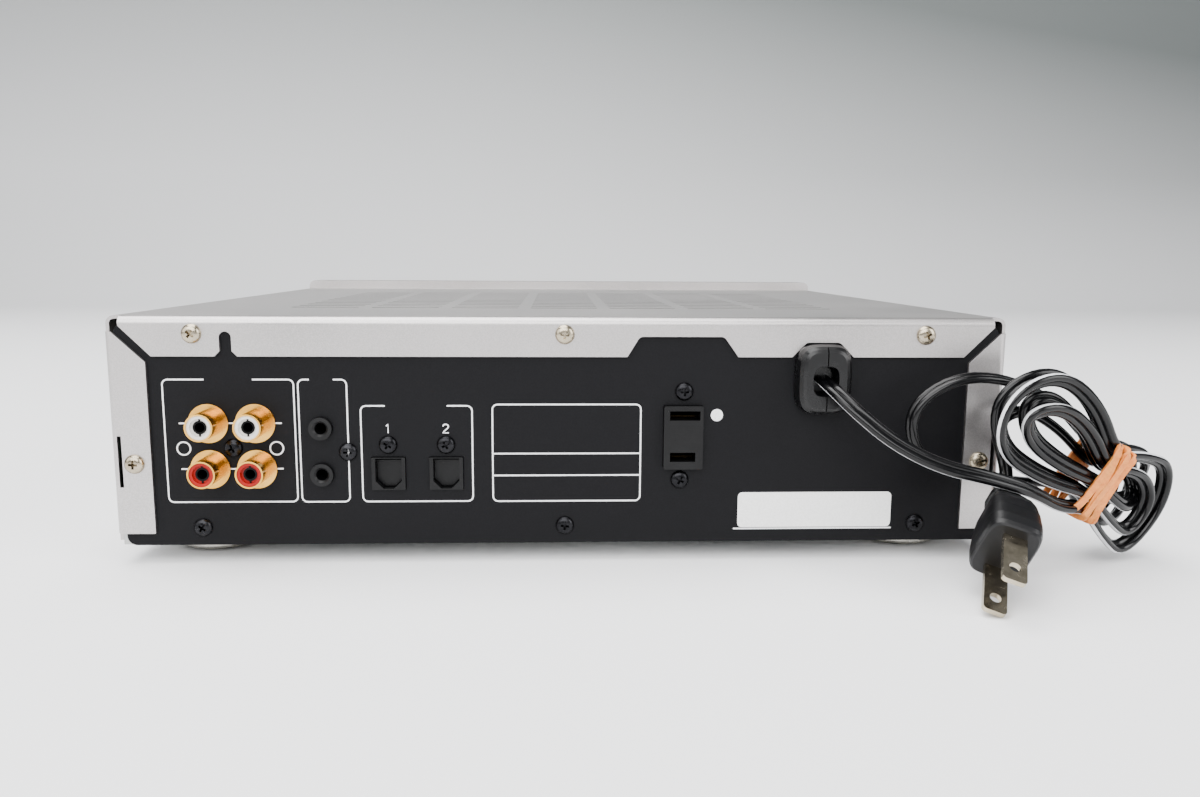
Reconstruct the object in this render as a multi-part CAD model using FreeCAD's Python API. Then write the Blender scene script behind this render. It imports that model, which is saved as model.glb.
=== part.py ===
"""Slot-loading minidisc deck, midi size, modelled as it comes apart on a bench.

+Z is up, the front panel faces -Y and the connector side faces +Y. The origin is on the desk,
under the middle of the deck. Millimetres throughout.
"""
import FreeCAD
import Part
import math
import os
from FreeCAD import Vector

# Overall sizes
CASE_W = 275.0
CASE_TOP = 77.0
CASE_DEPTH = 241.0
CHASSIS_Z = 6.2
PANEL_T = 14.0
PANEL_TOP = 81.0
PANEL_BOTTOM = 4.5
SHEET = 1.0
BEND = 2.5
FIT = 0.3
BUTTON_RIM = 1.2
RUN = 0.08

# Rear connectors: how far they stand out, and where they sit
JACK_OUT = 7.7
DIAL_OUT = 9.7
RCA_R = 4.15
RCA_BORE_R = 1.7
RCA_X = (108.2, 94.1)
RCA_Z = (44.4, 30.2)
REMOTE_BORE_R = 1.8
REMOTE_X = 74.5
REMOTE_Z = (42.8, 28.4)
OPTICAL_X = (54.3, 36.6)
OPTICAL_Z = 28.6
OPTICAL_W = 10.6
OPTICAL_H = 10.5
DOOR_W = 7.7
DOOR_H = 8.2
OUTLET = (-36.7, 39.8, 12.2, 19.9)
BUSH = (-79.6, 58.2, 17.3, 21.7)
BUSH_OUT = 5.5

# Lips of the cover, seen from the rear
LIP_Z = 64.9
LIP_HALF = CASE_W / 2 - 4.5
LIP_CUT = 9.2
SIDE_LIP = 11.9
SIDE_LIP_Z = (10.1, 72.2)

# Screws
COVER_SCREW_X = 111.5
COVER_SCREW_Z = 71.75
SIDE_SCREW = (CASE_W / 2 - 6.9, 32.0)
PANEL_SCREW_Z = 11.8
SCREW_R = 1.45
SCREW_HOLE_R = 1.6

# Vents: groups of slots across the top
VENT_GROUPS = 7
VENT_ROWS = 13
VENT_PITCH = 27.9
VENT_LEN = 23.5
VENT_SLOT = 2.6
VENT_START = 50.0
VENT_END = 180.0

# Feet
FOOT_R = 14.5
FOOT_X = 114.5
FOOT_INSET = 27.0

# Front
SLOT_X = -8.0
SLOT_Z = 63.0
SLOT_W = 76.0
SLOT_H = 8.0
WINDOW = (-8.0, 36.0, 104.0, 20.0)
JOG = (102.0, 52.0, 15.0)
LEVEL = (-112.0, 26.0, 7.0)

# Minidisc mechanism
MECH_X = SLOT_X
DISC_LIFT = 6.0
HOLDER_H = 7.6
GEAR_MODULE = 0.8
GEAR_TEETH = 28
PINION_TEETH = 12
SLED_MODULE = 0.5
SCREW_TEETH = 18
SLED_PINION_TEETH = 10
PINION_PHASE = 0.0

# Mains cord and its hank
CORD_R = 1.9
STRAND_PITCH = 5.375
HANK_PLANES = 3

REAR = (CASE_DEPTH + PANEL_T + DIAL_OUT - JACK_OUT) / 2
FRONT = REAR - CASE_DEPTH
FACE = FRONT - PANEL_T
HALF = CASE_W / 2
FLOOR_TOP = CHASSIS_Z + SHEET
PANEL_Y = REAR - SHEET
INNER_Y = PANEL_Y - SHEET
DOOR_Y = INNER_Y - 1.6
HOLDER_FLOOR = SLOT_Z - HOLDER_H / 2
MECH_BASE = HOLDER_FLOOR - DISC_LIFT - 8.4
MECH_TOP = SLOT_Z + 8


def tapped(x, z, depth=7):
    """The hole that a rear screw goes into, behind the panel."""
    return hole(x, z, SCREW_R + 0.06, INNER_Y - depth, REAR)


def save(node, shape):
    shape.exportStep("parts/" + node + ".step")


def box(x0, x1, y0, y1, z0, z1):
    return Part.makeBox(x1 - x0, y1 - y0, z1 - z0, Vector(x0, y0, z0))


def block(x, y, z, width, depth, height):
    """A box by its centre in X and Y and its underside."""
    return box(x - width / 2, x + width / 2, y - depth / 2, y + depth / 2, z, z + height)


def rod(x, y, z, axis, radius, length):
    return Part.makeCylinder(radius, length, Vector(x, y, z), Vector(*axis))


def fuse(shapes):
    shapes = list(shapes)
    return shapes[0].multiFuse(shapes[1:]).removeSplitter() if len(shapes) > 1 else shapes[0]


def outline(points):
    """A closed wire in the XY plane through (u, v) or (u, v, corner radius) points."""
    corners = [Vector(p[0], p[1], 0) for p in points]
    radii = [p[2] if len(p) > 2 else 0 for p in points]
    edges = []
    starts = []
    count = len(corners)
    for i, corner in enumerate(corners):
        back = (corners[i - 1] - corner).normalize()
        on = (corners[(i + 1) % count] - corner).normalize()
        if radii[i] == 0:
            starts.append((corner, corner, None))
            continue
        half = back.getAngle(on) / 2
        reach = radii[i] / math.tan(half)
        inward = (back + on).normalize()
        centre = corner + inward * (radii[i] / math.sin(half))
        starts.append((corner + back * reach, corner + on * reach, centre - inward * radii[i]))
    for i, (enter, leave, middle) in enumerate(starts):
        if middle is not None:
            edges.append(Part.Arc(enter, middle, leave).toShape())
        following = starts[(i + 1) % count][0]
        if leave.distanceToPoint(following) > 1e-6:
            edges.append(Part.LineSegment(leave, following).toShape())
    return Part.Wire(edges)


def upright(points, y0, y1):
    """Extrude an outline drawn in X and Z from y0 to y1."""
    wire = outline(points)
    wire.rotate(Vector(0, 0, 0), Vector(1, 0, 0), 90)
    wire.translate(Vector(0, y0, 0))
    return Part.Face(wire).extrude(Vector(0, y1 - y0, 0))


def flat(points, z0, z1):
    """Extrude an outline drawn in X and Y from z0 to z1."""
    wire = outline(points)
    wire.translate(Vector(0, 0, z0))
    return Part.Face(wire).extrude(Vector(0, 0, z1 - z0))


def side(points, x0, x1):
    """Extrude an outline drawn in Y and Z from x0 to x1."""
    wire = outline(points)
    wire.rotate(Vector(0, 0, 0), Vector(1, 1, 1), 120)
    wire.translate(Vector(x0, 0, 0))
    return Part.Face(wire).extrude(Vector(x1 - x0, 0, 0))


def round_rect(x, z, width, height, radius):
    """Corner points of a rounded rectangle by its centre."""
    w = width / 2
    h = height / 2
    return [(x - w, z - h, radius), (x + w, z - h, radius), (x + w, z + h, radius), (x - w, z + h, radius)]


def hole(x, z, radius, y0, y1):
    return rod(x, y0, z, (0, 1, 0), radius, y1 - y0)


def screw(x, y, z, axis, head_r, head_h, shank, shank_r=SCREW_R):
    """A pan-head screw: its head stands on the point, along axis."""
    head = Part.makeCone(head_r, head_r * 0.7, head_h)
    body = head.fuse(Part.makeCylinder(shank_r, shank, Vector(0, 0, -shank), Vector(0, 0, 1)))
    body.Placement = FreeCAD.Placement(Vector(x, y, z), FreeCAD.Rotation(Vector(0, 0, 1), Vector(*axis)))
    return body


def gear(teeth, module, thickness, bore):
    """A spur gear with straight-flanked teeth about the Z axis, one tooth on +X."""
    pitch_r = teeth * module / 2
    tip = pitch_r + module * 0.9
    root = pitch_r - module * 1.15
    step = 2 * math.pi / teeth
    points = []
    for k in range(teeth):
        for share, radius in ((-0.34, root), (-0.12, tip), (0.12, tip), (0.34, root)):
            angle = (k + share) * step
            points.append((radius * math.cos(angle), radius * math.sin(angle)))
    body = flat(points, 0, thickness)
    return body.cut(Part.makeCylinder(bore, thickness + 4, Vector(0, 0, -1)))


# Casing

def top_cover():
    """Folded U with vents, a rear lip with keyhole, step and cord notch, and two slotted side lips."""
    low = CHASSIS_Z + 1.3
    bend = BEND
    start = REAR - bend
    shell = upright([
        (-HALF, low), (-HALF, CASE_TOP, bend), (HALF, CASE_TOP, bend), (HALF, low),
        (HALF - SHEET, low), (HALF - SHEET, CASE_TOP - SHEET, bend - SHEET),
        (SHEET - HALF, CASE_TOP - SHEET, bend - SHEET), (SHEET - HALF, low)][::-1], FRONT, start)
    top_lip = side([
        (start, CASE_TOP - SHEET), (start, CASE_TOP), (REAR, CASE_TOP, bend), (REAR, LIP_Z),
        (PANEL_Y, LIP_Z), (PANEL_Y, CASE_TOP - SHEET, bend - SHEET)], -LIP_HALF, LIP_HALF)
    y0 = PANEL_Y - 1
    y1 = REAR + 1
    cut = LIP_CUT
    for sign in (-1, 1):
        end = sign * LIP_HALF
        top_lip = top_lip.cut(upright([
            (end + sign, LIP_Z + cut + 1), (end - sign * (cut + 1), LIP_Z - 1),
            (end + sign, LIP_Z - 1)], y0, y1))
    step = upright([(-53.3, LIP_Z - 1), (-53.3, LIP_Z), (-48.9, LIP_Z + 6.2, 2), (-22.9, LIP_Z + 6.2, 2),
                    (-19.1, LIP_Z), (-19.1, LIP_Z - 1)], y0, y1)
    bush_x = BUSH[0]
    notch = upright([(bush_x - 9.6, LIP_Z - 1), (bush_x - 9.6, LIP_Z), (bush_x - 5.2, LIP_Z + 4.5, 1.5),
                     (bush_x + 5.2, LIP_Z + 4.5, 1.5), (bush_x + 9.6, LIP_Z), (bush_x + 9.6, LIP_Z - 1)], y0, y1)
    key = upright([(98.3, LIP_Z - 1), (98.3, LIP_Z), (99.9, LIP_Z + 1.6), (99.9, LIP_Z + 5.7),
                   (103.5, LIP_Z + 5.7), (103.5, LIP_Z + 1.6), (105.1, LIP_Z), (105.1, LIP_Z - 1)], y0, y1)
    top_lip = top_lip.cut(fuse([step, notch]))
    top_lip = top_lip.cut(key.fuse(hole(101.7, LIP_Z + 5.7, 1.8, y0, y1)))
    for x in (-COVER_SCREW_X, 0, COVER_SCREW_X):
        top_lip = top_lip.cut(hole(x, COVER_SCREW_Z, SCREW_HOLE_R, y0, y1))
    pieces = [shell, top_lip]
    for sign in (-1, 1):
        lip = flat([
            (sign * (HALF - SHEET), start), (sign * HALF, start), (sign * HALF, REAR, bend),
            (sign * (HALF - SIDE_LIP), REAR), (sign * (HALF - SIDE_LIP), PANEL_Y),
            (sign * (HALF - SHEET), PANEL_Y, bend - SHEET)], SIDE_LIP_Z[0], SIDE_LIP_Z[1])
        inner = HALF - SIDE_LIP
        lip = lip.cut(upright([
            (sign * (inner - 1), 62.2), (sign * (inner - 1), 74), (sign * (HALF - 0.5), 74)], y0, y1))
        lip = lip.cut(upright([(sign * (HALF - 3.3), 24.7), (sign * (HALF - 2.1), 24.7),
                               (sign * (HALF - 2.1), 40.6), (sign * (HALF - 3.3), 40.6)], y0, y1))
        lip = lip.cut(hole(sign * SIDE_SCREW[0], SIDE_SCREW[1], SCREW_HOLE_R, y0, y1))
        pieces.append(lip)
    cover = fuse(pieces)
    row = (VENT_END - VENT_START) / (VENT_ROWS - 1)
    slots = []
    for group in range(VENT_GROUPS):
        x = (group - (VENT_GROUPS - 1) / 2) * VENT_PITCH
        for k in range(VENT_ROWS):
            slots.append(block(x, REAR - VENT_START - k * row, CASE_TOP - 2, VENT_LEN, VENT_SLOT, 4))
    return cover.cut(Part.makeCompound(slots))


def rear_panel():
    """Painted sheet with a cut-out for each connector."""
    x = HALF - BEND - FIT
    top = CASE_TOP - BEND - FIT
    panel = upright([(-x, CHASSIS_Z, 3), (x, CHASSIS_Z, 3), (x, top, 2), (-x, top, 2)], INNER_Y, PANEL_Y)
    cuts = [hole(x, z, RCA_R + 0.25, INNER_Y - 1, REAR) for x in RCA_X for z in RCA_Z]
    cuts += [hole(REMOTE_X, z, 3.6, INNER_Y - 1, REAR) for z in REMOTE_Z]
    for x in OPTICAL_X:
        cuts.append(upright(round_rect(x, OPTICAL_Z, OPTICAL_W, OPTICAL_H, 0.4), INNER_Y - 1, REAR))
    x, z, w, h = OUTLET
    cuts.append(upright(round_rect(x, z, w + 0.2, h + 0.2, 0.6), INNER_Y - 1, REAR))
    x, z, w, h = BUSH
    cuts.append(upright(round_rect(x, z, w - 5, h - 5, 2), INNER_Y - 1, REAR))
    for x, z in panel_screw_places() + cover_screw_places():
        cuts.append(hole(x, z, SCREW_HOLE_R, INNER_Y - 1, REAR))
    return panel.cut(Part.makeCompound(cuts))


def panel_screw_places():
    """Black screws: three into the chassis, the rest into the connectors."""
    places = [(-COVER_SCREW_X, PANEL_SCREW_Z), (0, PANEL_SCREW_Z), (COVER_SCREW_X, PANEL_SCREW_Z)]
    places += [((RCA_X[0] + RCA_X[1]) / 2, (RCA_Z[0] + RCA_Z[1]) / 2 - 0.6), (66.5, 35.4)]
    places += [(x, OPTICAL_Z + 9.0) for x in OPTICAL_X]
    x, z, w, h = OUTLET
    places += [(x, z + h / 2 + 4.3), (x, z - h / 2 - 3.8)]
    return places


def cover_screw_places():
    places = [(x, COVER_SCREW_Z) for x in (-COVER_SCREW_X, 0, COVER_SCREW_X)]
    return places + [(sign * SIDE_SCREW[0], SIDE_SCREW[1]) for sign in (-1, 1)]


def boss_places():
    """Standoffs on the chassis floor: x, y, height of what stands on them."""
    main = [(x, REAR - y, 14.0) for x in (44, 118) for y in (12, 84)]
    power = [(x, REAR - y, 14.0) for x in (-122, -28) for y in (30, 84)]
    mech = [(MECH_X + x, FRONT + y, MECH_BASE) for x in (-48, 48) for y in (24, 108)]
    return main + power + mech


def chassis_tray():
    """Floor with upturned sides, pressed ribs, vents, and standoffs for the boards and mechanism."""
    x = HALF - SHEET - FIT
    back = INNER_Y
    front = FRONT + FIT
    parts = [box(-x, x, front, back, CHASSIS_Z, FLOOR_TOP)]
    for sign in (-1, 1):
        a, b = sorted((sign * x, sign * (x - SHEET)))
        parts.append(box(a, b, front, back - SHEET, FLOOR_TOP, 21))
    parts.append(box(-x, x, back - SHEET, back, FLOOR_TOP, 15.3))
    for rib_x in (-84, -56, 10, 38, 66):
        parts.append(block(rib_x, FRONT + 60, FLOOR_TOP, 5, 84, 1.4))
    for bx, by, top in boss_places():
        parts.append(rod(bx, by, FLOOR_TOP, (0, 0, 1), 3.0, top - FLOOR_TOP))
    for bx in (-COVER_SCREW_X, COVER_SCREW_X):
        parts.append(block(bx, FRONT + 4, FLOOR_TOP, 12, 6, 12))
    tray = fuse(parts)
    cuts = []
    for k in range(9):
        cuts.append(block(0 + (k - 4) * 9, REAR - 44, CHASSIS_Z - 1, 2.6, 34, 4))
    for px, pz in panel_screw_places()[:3]:
        cuts.append(tapped(px, pz))
    for fx, fy in foot_places():
        cuts.append(rod(fx, fy, CHASSIS_Z - 1, (0, 0, 1), 2.2, 4))
    return tray.cut(Part.makeCompound(cuts))


def foot_places():
    return [(x, y) for x in (-FOOT_X, FOOT_X) for y in (REAR - FOOT_INSET, FRONT + 34)]


def foot(x, y):
    """Spun foot with a chamfered rim and its stud through the floor."""
    top = CHASSIS_Z
    wire = outline([(0, 0.9), (FOOT_R - 1.2, 0.9), (FOOT_R, 2.0), (FOOT_R, top), (2.0, top), (2.0, top + 3),
                    (0, top + 3)])
    wire.rotate(Vector(0, 0, 0), Vector(1, 0, 0), 90)
    shape = Part.Face(wire)
    return shape.revolve(Vector(0, 0, 0), Vector(0, 0, 1), 360).translated(Vector(x, y, 0))


def foot_pad(x, y):
    return rod(x, y, 0, (0, 0, 1), FOOT_R - 3.8, 0.9)


# Rear connectors

def rca_shell(x, z):
    """Gilt phono shell: flange on the panel and a slotted barrel."""
    flange = hole(x, z, 6.0, PANEL_Y, PANEL_Y + 0.7)
    barrel = hole(x, z, RCA_R, INNER_Y - 6, REAR + JACK_OUT)
    return flange.fuse(barrel).cut(hole(x, z, RCA_R - 0.5, INNER_Y - 7, REAR + JACK_OUT + 1))


def rca_insert(x, z):
    """Moulded insulator inside the shell, with the bore for the centre pin."""
    radius = RCA_R - 0.5
    body = hole(x, z, radius, INNER_Y - 6, REAR + JACK_OUT - 0.4)
    face = hole(x, z, radius - 0.9, REAR + JACK_OUT - 1.4, REAR + JACK_OUT)
    return body.cut(face).cut(hole(x, z, RCA_BORE_R, REAR + JACK_OUT - 12, REAR + JACK_OUT))


def rca_block():
    """Moulded body behind the panel, with a pocket for each shell."""
    x0 = RCA_X[1] - 8
    x1 = RCA_X[0] + 8
    body = box(x0, x1, INNER_Y - 18, INNER_Y, 15.6, RCA_Z[0] + 8)
    body = body.cut(box(x0 + 4, x1 - 4, INNER_Y - 19, INNER_Y - 12, 15, RCA_Z[0] + 4))
    for x in RCA_X:
        for z in RCA_Z:
            body = body.cut(hole(x, z, RCA_R, INNER_Y - 6, INNER_Y + 1))
    x, z = panel_screw_places()[3]
    return body.cut(tapped(x, z))


def remote_jack(z):
    """3.5 mm jack: nut ring on the panel, bush through it and a body behind."""
    x = REMOTE_X
    body = box(x - 4.5, x + 4.5, INNER_Y - 13, INNER_Y, z - 5.5, z + 5.5)
    ring = hole(x, z, 3.5, INNER_Y, REAR + 0.6)
    jack = body.fuse(ring).cut(hole(x, z, REMOTE_BORE_R, REAR - 13.4, REAR + 1))
    lead_in = Part.makeCone(REMOTE_BORE_R, REMOTE_BORE_R + 0.6, 0.6, Vector(x, REAR, z), Vector(0, 1, 0))
    return jack.cut(lead_in)


def remote_post():
    """Bracket between the two jacks that takes their screw and stands on the board."""
    x, z = panel_screw_places()[4]
    bracket = box(x - 3, x + 3, INNER_Y - 8, INNER_Y, 15.6, z + 4)
    return bracket.cut(tapped(x, z))


def optical_socket(x):
    """Square socket with a keyed cavity, a screw ear above, and a door hinge slot."""
    z = OPTICAL_Z
    body = box(x - 6.4, x + 6.4, INNER_Y - 15, INNER_Y, 15.6, z + OPTICAL_H / 2 + 1)
    snout = upright(round_rect(x, z, OPTICAL_W - 0.3, OPTICAL_H - 0.3, 0.3), INNER_Y, REAR - 0.2)
    ear = box(x - 3.2, x + 3.2, INNER_Y - 6, INNER_Y, z + OPTICAL_H / 2, z + 12.5)
    w = DOOR_W / 2 + 0.15
    bottom = z - DOOR_H / 2 - 0.6
    top = z + DOOR_H / 2 - 0.6
    cavity = upright([(x - w, bottom + 2.4), (x - w + 2.4, bottom), (x + w - 2.4, bottom),
                      (x + w, bottom + 2.4), (x + w, top + 1.3), (x - w, top + 1.3)], INNER_Y - 12, REAR)
    pivot = rod(x - w - 1.0, DOOR_Y, top + 0.2, (1, 0, 0), 0.6 + RUN, 2 * w + 2.0)
    hole_z = z + 9.0
    return fuse([body, snout, ear]).cut(fuse([cavity, pivot])).cut(tapped(x, hole_z))


def optical_shutter(x):
    """Sprung door of a socket: keyed plate on a pin along its top edge."""
    z = OPTICAL_Z
    w = DOOR_W / 2
    bottom = z - DOOR_H / 2 - 0.6
    top = z + DOOR_H / 2 - 0.6
    door = upright([(x - w, bottom + 2.6), (x - w + 2.3, bottom + 0.3), (x + w - 2.3, bottom + 0.3),
                    (x + w, bottom + 2.6), (x + w, top + 0.2), (x - w, top + 0.2)], DOOR_Y - 0.5, DOOR_Y + 0.5)
    pin = rod(x - w - 0.8, DOOR_Y, top + 0.2, (1, 0, 0), 0.6, 2 * w + 1.6)
    return door.fuse(pin)


def outlet_body():
    """Switched outlet: a face through the panel with two blade slots, and ears behind it."""
    x, z, w, h = OUTLET
    face = upright(round_rect(x, z, w, h, 0.6), INNER_Y, REAR + 0.9)
    flange = upright(round_rect(x, z + 0.2, w + 3, h + 15.6, 2), INNER_Y - 2.5, INNER_Y)
    body = box(x - w / 2, x + w / 2, INNER_Y - 22, INNER_Y - 2.5, z - h / 2, z + h / 2)
    shape = fuse([face, flange, body])
    shape = shape.cut(block(x - 0.4, REAR - 7.2, z + 5.5, 9.4, 18.6, 2.9))
    shape = shape.cut(block(x + 0.2, REAR - 7.2, z - 7.5, 7.9, 18.6, 2.9))
    for sx, sz in panel_screw_places()[7:]:
        shape = shape.cut(tapped(sx, sz))
    return shape


def outlet_contacts():
    """A folded spring contact in each slot."""
    x, z, w, h = OUTLET
    pieces = []
    for sx, sz, length in ((x - 0.4, z + 5.5, 9.4), (x + 0.2, z - 7.5, 7.9)):
        strip = block(sx, REAR - 11, sz, length, 9, 0.5)
        strip = strip.fuse(block(sx, REAR - 15.2, sz, length, 0.6, 2.9))
        pieces.append(strip.fuse(block(sx, REAR - 11, sz + 2.4, length, 9, 0.5)))
    return Part.makeCompound(pieces)


def cord_bush():
    """Split strain relief: flared nose, waist through the panel, and a pocket the cord leaves by."""
    x, z, w, h = BUSH
    base = outline(round_rect(x, z, w, h, 6))
    rim = outline(round_rect(x + 0.6, z + 0.3, w - 3, h - 1.0, 5))
    for wire, y in ((base, PANEL_Y), (rim, REAR + BUSH_OUT)):
        wire.rotate(Vector(0, 0, 0), Vector(1, 0, 0), 90)
        wire.translate(Vector(0, y, 0))
    nose = Part.makeLoft([base, rim], True, True)
    waist = upright(round_rect(x, z, w - 5.4, h - 5.4, 2), INNER_Y - 6, PANEL_Y)
    tail = upright(round_rect(x, z, w - 3, h - 3, 2.5), INNER_Y - 12, INNER_Y)
    body = fuse([nose, waist, tail])
    x0, y0, z0 = cord_route()[0]
    pocket = upright(round_rect(x0 + 0.3, z0 + 0.2, 7.2, 13.0, 1.2), REAR - 1.0, REAR + BUSH_OUT + 1)
    seam = box(x + 0.5, x + 0.8, REAR + BUSH_OUT - 0.4, REAR + BUSH_OUT + 1, z - h, z + h)
    return body.cut(fuse([pocket, seam])).cut(
        rod(x0, INNER_Y - 13, z0, (0, 1, 0), CORD_R + 0.2, REAR - INNER_Y + 12))


# Mains cord: route points chosen along the photographed lie, then the hank by formula

def place(point):
    """A point given from the middle of the rear face at desk level."""
    return Vector(point[0], REAR + point[1], point[2])


def cord_route():
    """Free stretch from the bush pocket down to the tie."""
    return [place(p) for p in (
        (-79.4, -1.0, 58.2), (-79.6, 9.5, 57.2), (-84.5, 17.0, 51.5), (-95.0, 22.0, 42.4),
        (-108.5, 25.5, 35.8), (-122.0, 26.5, 33.0), (-HALF + 1.5, 24.0, 28.6), (-HALF - 10.0, 18.5, 22.0))]


def plug_frame():
    """Where the plug's tail is, and its long and blade-to-blade directions."""
    along = Vector(*PLUG_AXIS).normalize()
    tall = Vector(*PLUG_TALL)
    tall = (tall - along * tall.dot(along)).normalize()
    return place(PLUG_AT), along, tall


def lead_route():
    """Last straight stretch from the hank into the plug's strain relief."""
    tail, along, tall = plug_frame()
    return [tail - along * LEAD_LEN, tail]


def rounded_path(p):
    """Straight runs joined by tangent arcs, each as large as its two runs allow."""
    edges = []
    radii = []
    at = p[0]
    for i in range(1, len(p) - 1):
        back = p[i - 1] - p[i]
        on = p[i + 1] - p[i]
        reach = 0.45 * min(back.Length, on.Length)
        back.normalize()
        on.normalize()
        turn = math.pi - back.getAngle(on)
        radius = reach / math.tan(turn / 2)
        radii.append(radius)
        enter = p[i] + back * reach
        leave = p[i] + on * reach
        inward = (back + on).normalize()
        middle = p[i] + inward * (radius / math.cos(turn / 2) - radius)
        edges.append(Part.LineSegment(at, enter).toShape())
        edges.append(Part.Arc(enter, middle, leave).toShape())
        at = leave
    edges.append(Part.LineSegment(at, p[-1]).toShape())
    return Part.Wire(edges), radii


def ring(centre, direction, radius, sides=6):
    """A closed polygon of a cord's section, square to direction."""
    along = Vector(direction).normalize()
    across = along.cross(Vector(0, 0, 1))
    if across.Length < 0.1:
        across = along.cross(Vector(0, 1, 0))
    across.normalize()
    up = across.cross(along)
    points = []
    for k in range(sides):
        angle = 2 * math.pi * (k + 0.5) / sides
        points.append(Vector(centre) + across * (radius * math.cos(angle)) + up * (radius * math.sin(angle)))
    return Part.makePolygon(points + points[:1])


def tube(path, radius):
    first = path.OrderedEdges[0]
    start = first.firstVertex().Point
    if start.distanceToPoint(path.OrderedVertexes[0].Point) > 1e-4:
        start = first.lastVertex().Point
    direction = first.tangentAt(first.FirstParameter)
    return path.makePipeShell([ring(start, direction, radius)], True, False)


# Loops of the hank. At the tie the strands stand in rows and planes, a pitch apart. Each plane holds an
# outer loop and one nested in it. A left lobe is (direction from the hank's axis in degrees, length, width).
HANK_AT = (-HALF - 25.146, 9.13, 31.329)
HANK_AXIS = (-0.86, -0.2, -0.47)
HANK_SPREAD = 0.014
LEFT_LOBES = (
    ((172.58, 49.647, 33.291), (172.58, 40.125, 16.192)),
    ((167.428, 41.592, 32.616), (167.428, 34.995, 15.022)),
    ((184.011, 56.241, 37.009), (184.011, 34.227, 17.149)))
RIGHT_LOBES = {-1: (33.685, 40.901), 0: (30.15, 27.322), 1: (21.394, 11.336)}
RIGHT_DIRECTION = 0.812
RIGHT_LEAN = -0.309
LOOPS = ((0, 0), (0, 1), (1, 1), (1, 0), (2, 0), (2, 1))
LOBE_NEAR = (0.39, 0.806)
LOBE_FAR = (0.806, 0.919)


def hank_frame():
    """Axis, up and depth directions of the hank."""
    axis = Vector(*HANK_AXIS).normalize()
    depth = (Vector(0, 1, 0) - axis * axis.y).normalize()
    up = depth.cross(axis)
    return axis, (up if up.z > 0 else -up), depth


def plane_level(plane):
    return ((HANK_PLANES - 1) / 2 - plane) * STRAND_PITCH


def tie_point(plane, row):
    axis, up, depth = hank_frame()
    return place(HANK_AT) + up * (row * STRAND_PITCH) + depth * plane_level(plane)


def lobe(direction, sizes, planes, lean, first):
    """Five points round a lobe. Sizes and planes hold where it starts and where it ends, first is 1 or -1."""
    axis, up, depth = hank_frame()
    angle = math.radians(direction)
    out = axis * math.cos(angle) + up * math.sin(angle)
    across = depth.cross(out)
    if across.z < 0:
        across = -across
    points = []
    for share, (reach, offset) in zip((0, 0, 0.5, 1, 1), (
            LOBE_NEAR, LOBE_FAR, (1, 0), (LOBE_FAR[0], -LOBE_FAR[1]), (LOBE_NEAR[0], -LOBE_NEAR[1]))):
        length = sizes[0][0] + (sizes[1][0] - sizes[0][0]) * share
        width = sizes[0][1] + (sizes[1][1] - sizes[0][1]) * share
        level = plane_level(planes[0] + (planes[1] - planes[0]) * share)
        back = level * (1 + HANK_SPREAD * length * reach) + lean * length * reach
        sideways = first * offset * width / 2
        points.append(place(HANK_AT) + out * (length * reach) + across * sideways + depth * back)
    return points


def hank_points():
    """Route of the hank: right lobes step from loop to loop, in, back a plane, and out again."""
    points = [tie_point(0, -2.5)]
    before = (0, -1)
    for plane, nest in LOOPS:
        row = 1.5 - nest
        size = LEFT_LOBES[plane][nest]
        sizes = (RIGHT_LOBES[before[1]], RIGHT_LOBES[nest])
        points += lobe(RIGHT_DIRECTION, sizes, (before[0], plane), RIGHT_LEAN, -1)
        points.append(tie_point(plane, row))
        left = lobe(size[0], (size[1:], size[1:]), (plane, plane), 0, 1)
        last = (plane, nest) == LOOPS[-1]
        points += left[:3] if last else left + [tie_point(plane, -row)]
        before = (plane, nest)
    return points


def biarc_path(points, first=None, last=None):
    """Two tangent arcs between each pair of points, with tangents along the neighbours."""
    tangents = []
    count = len(points)
    for i in range(count):
        before = points[max(i - 1, 0)]
        after = points[min(i + 1, count - 1)]
        tangents.append((after - before).normalize())
    if first is not None:
        tangents[0] = Vector(first).normalize()
    if last is not None:
        tangents[-1] = Vector(last).normalize()
    edges = []
    for i in range(count - 1):
        p, q = points[i], points[i + 1]
        t, s = tangents[i], tangents[i + 1]
        v = q - p
        a = 2 * (t.dot(s) - 1)
        b = -2 * v.dot(t + s)
        c = v.dot(v)
        if abs(a) < 1e-9:
            d = -c / b
        else:
            d = (-b - math.sqrt(b * b - 4 * a * c)) / (2 * a)
        joint = (p + t * d + q - s * d) * 0.5
        edges.append(arc_between(p, p + t * d, joint))
        edges.append(arc_between(joint, q - s * d, q))
    return Part.Wire(edges)


def arc_between(start, corner, end):
    """The arc from start to end that is tangent to the two equal runs to their corner."""
    back = (start - corner)
    on = (end - corner)
    half = back.getAngle(on) / 2
    if math.pi / 2 - half < 2e-3:
        return Part.LineSegment(start, end).toShape()
    inward = (back.normalize() + on.normalize()).normalize()
    reach = start.distanceToPoint(corner)
    radius = reach * math.tan(half)
    middle = corner + inward * (reach / math.cos(half) - radius)
    return Part.Arc(start, middle, end).toShape()


def least_gap(path, radius, step=1.5):
    """Smallest clear distance between strands, measured on points along the path."""
    count = int(path.Length / step)
    points = path.discretize(Number=count)
    apart = int(3.5 * 2 * radius / step) + 1
    least = 1e9
    for i in range(0, count, 2):
        for j in range(i + apart, count, 2):
            gap = points[i].distanceToPoint(points[j]) - 2 * radius
            if gap < least:
                least = gap
                where = points[i]
    return least, where


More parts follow.
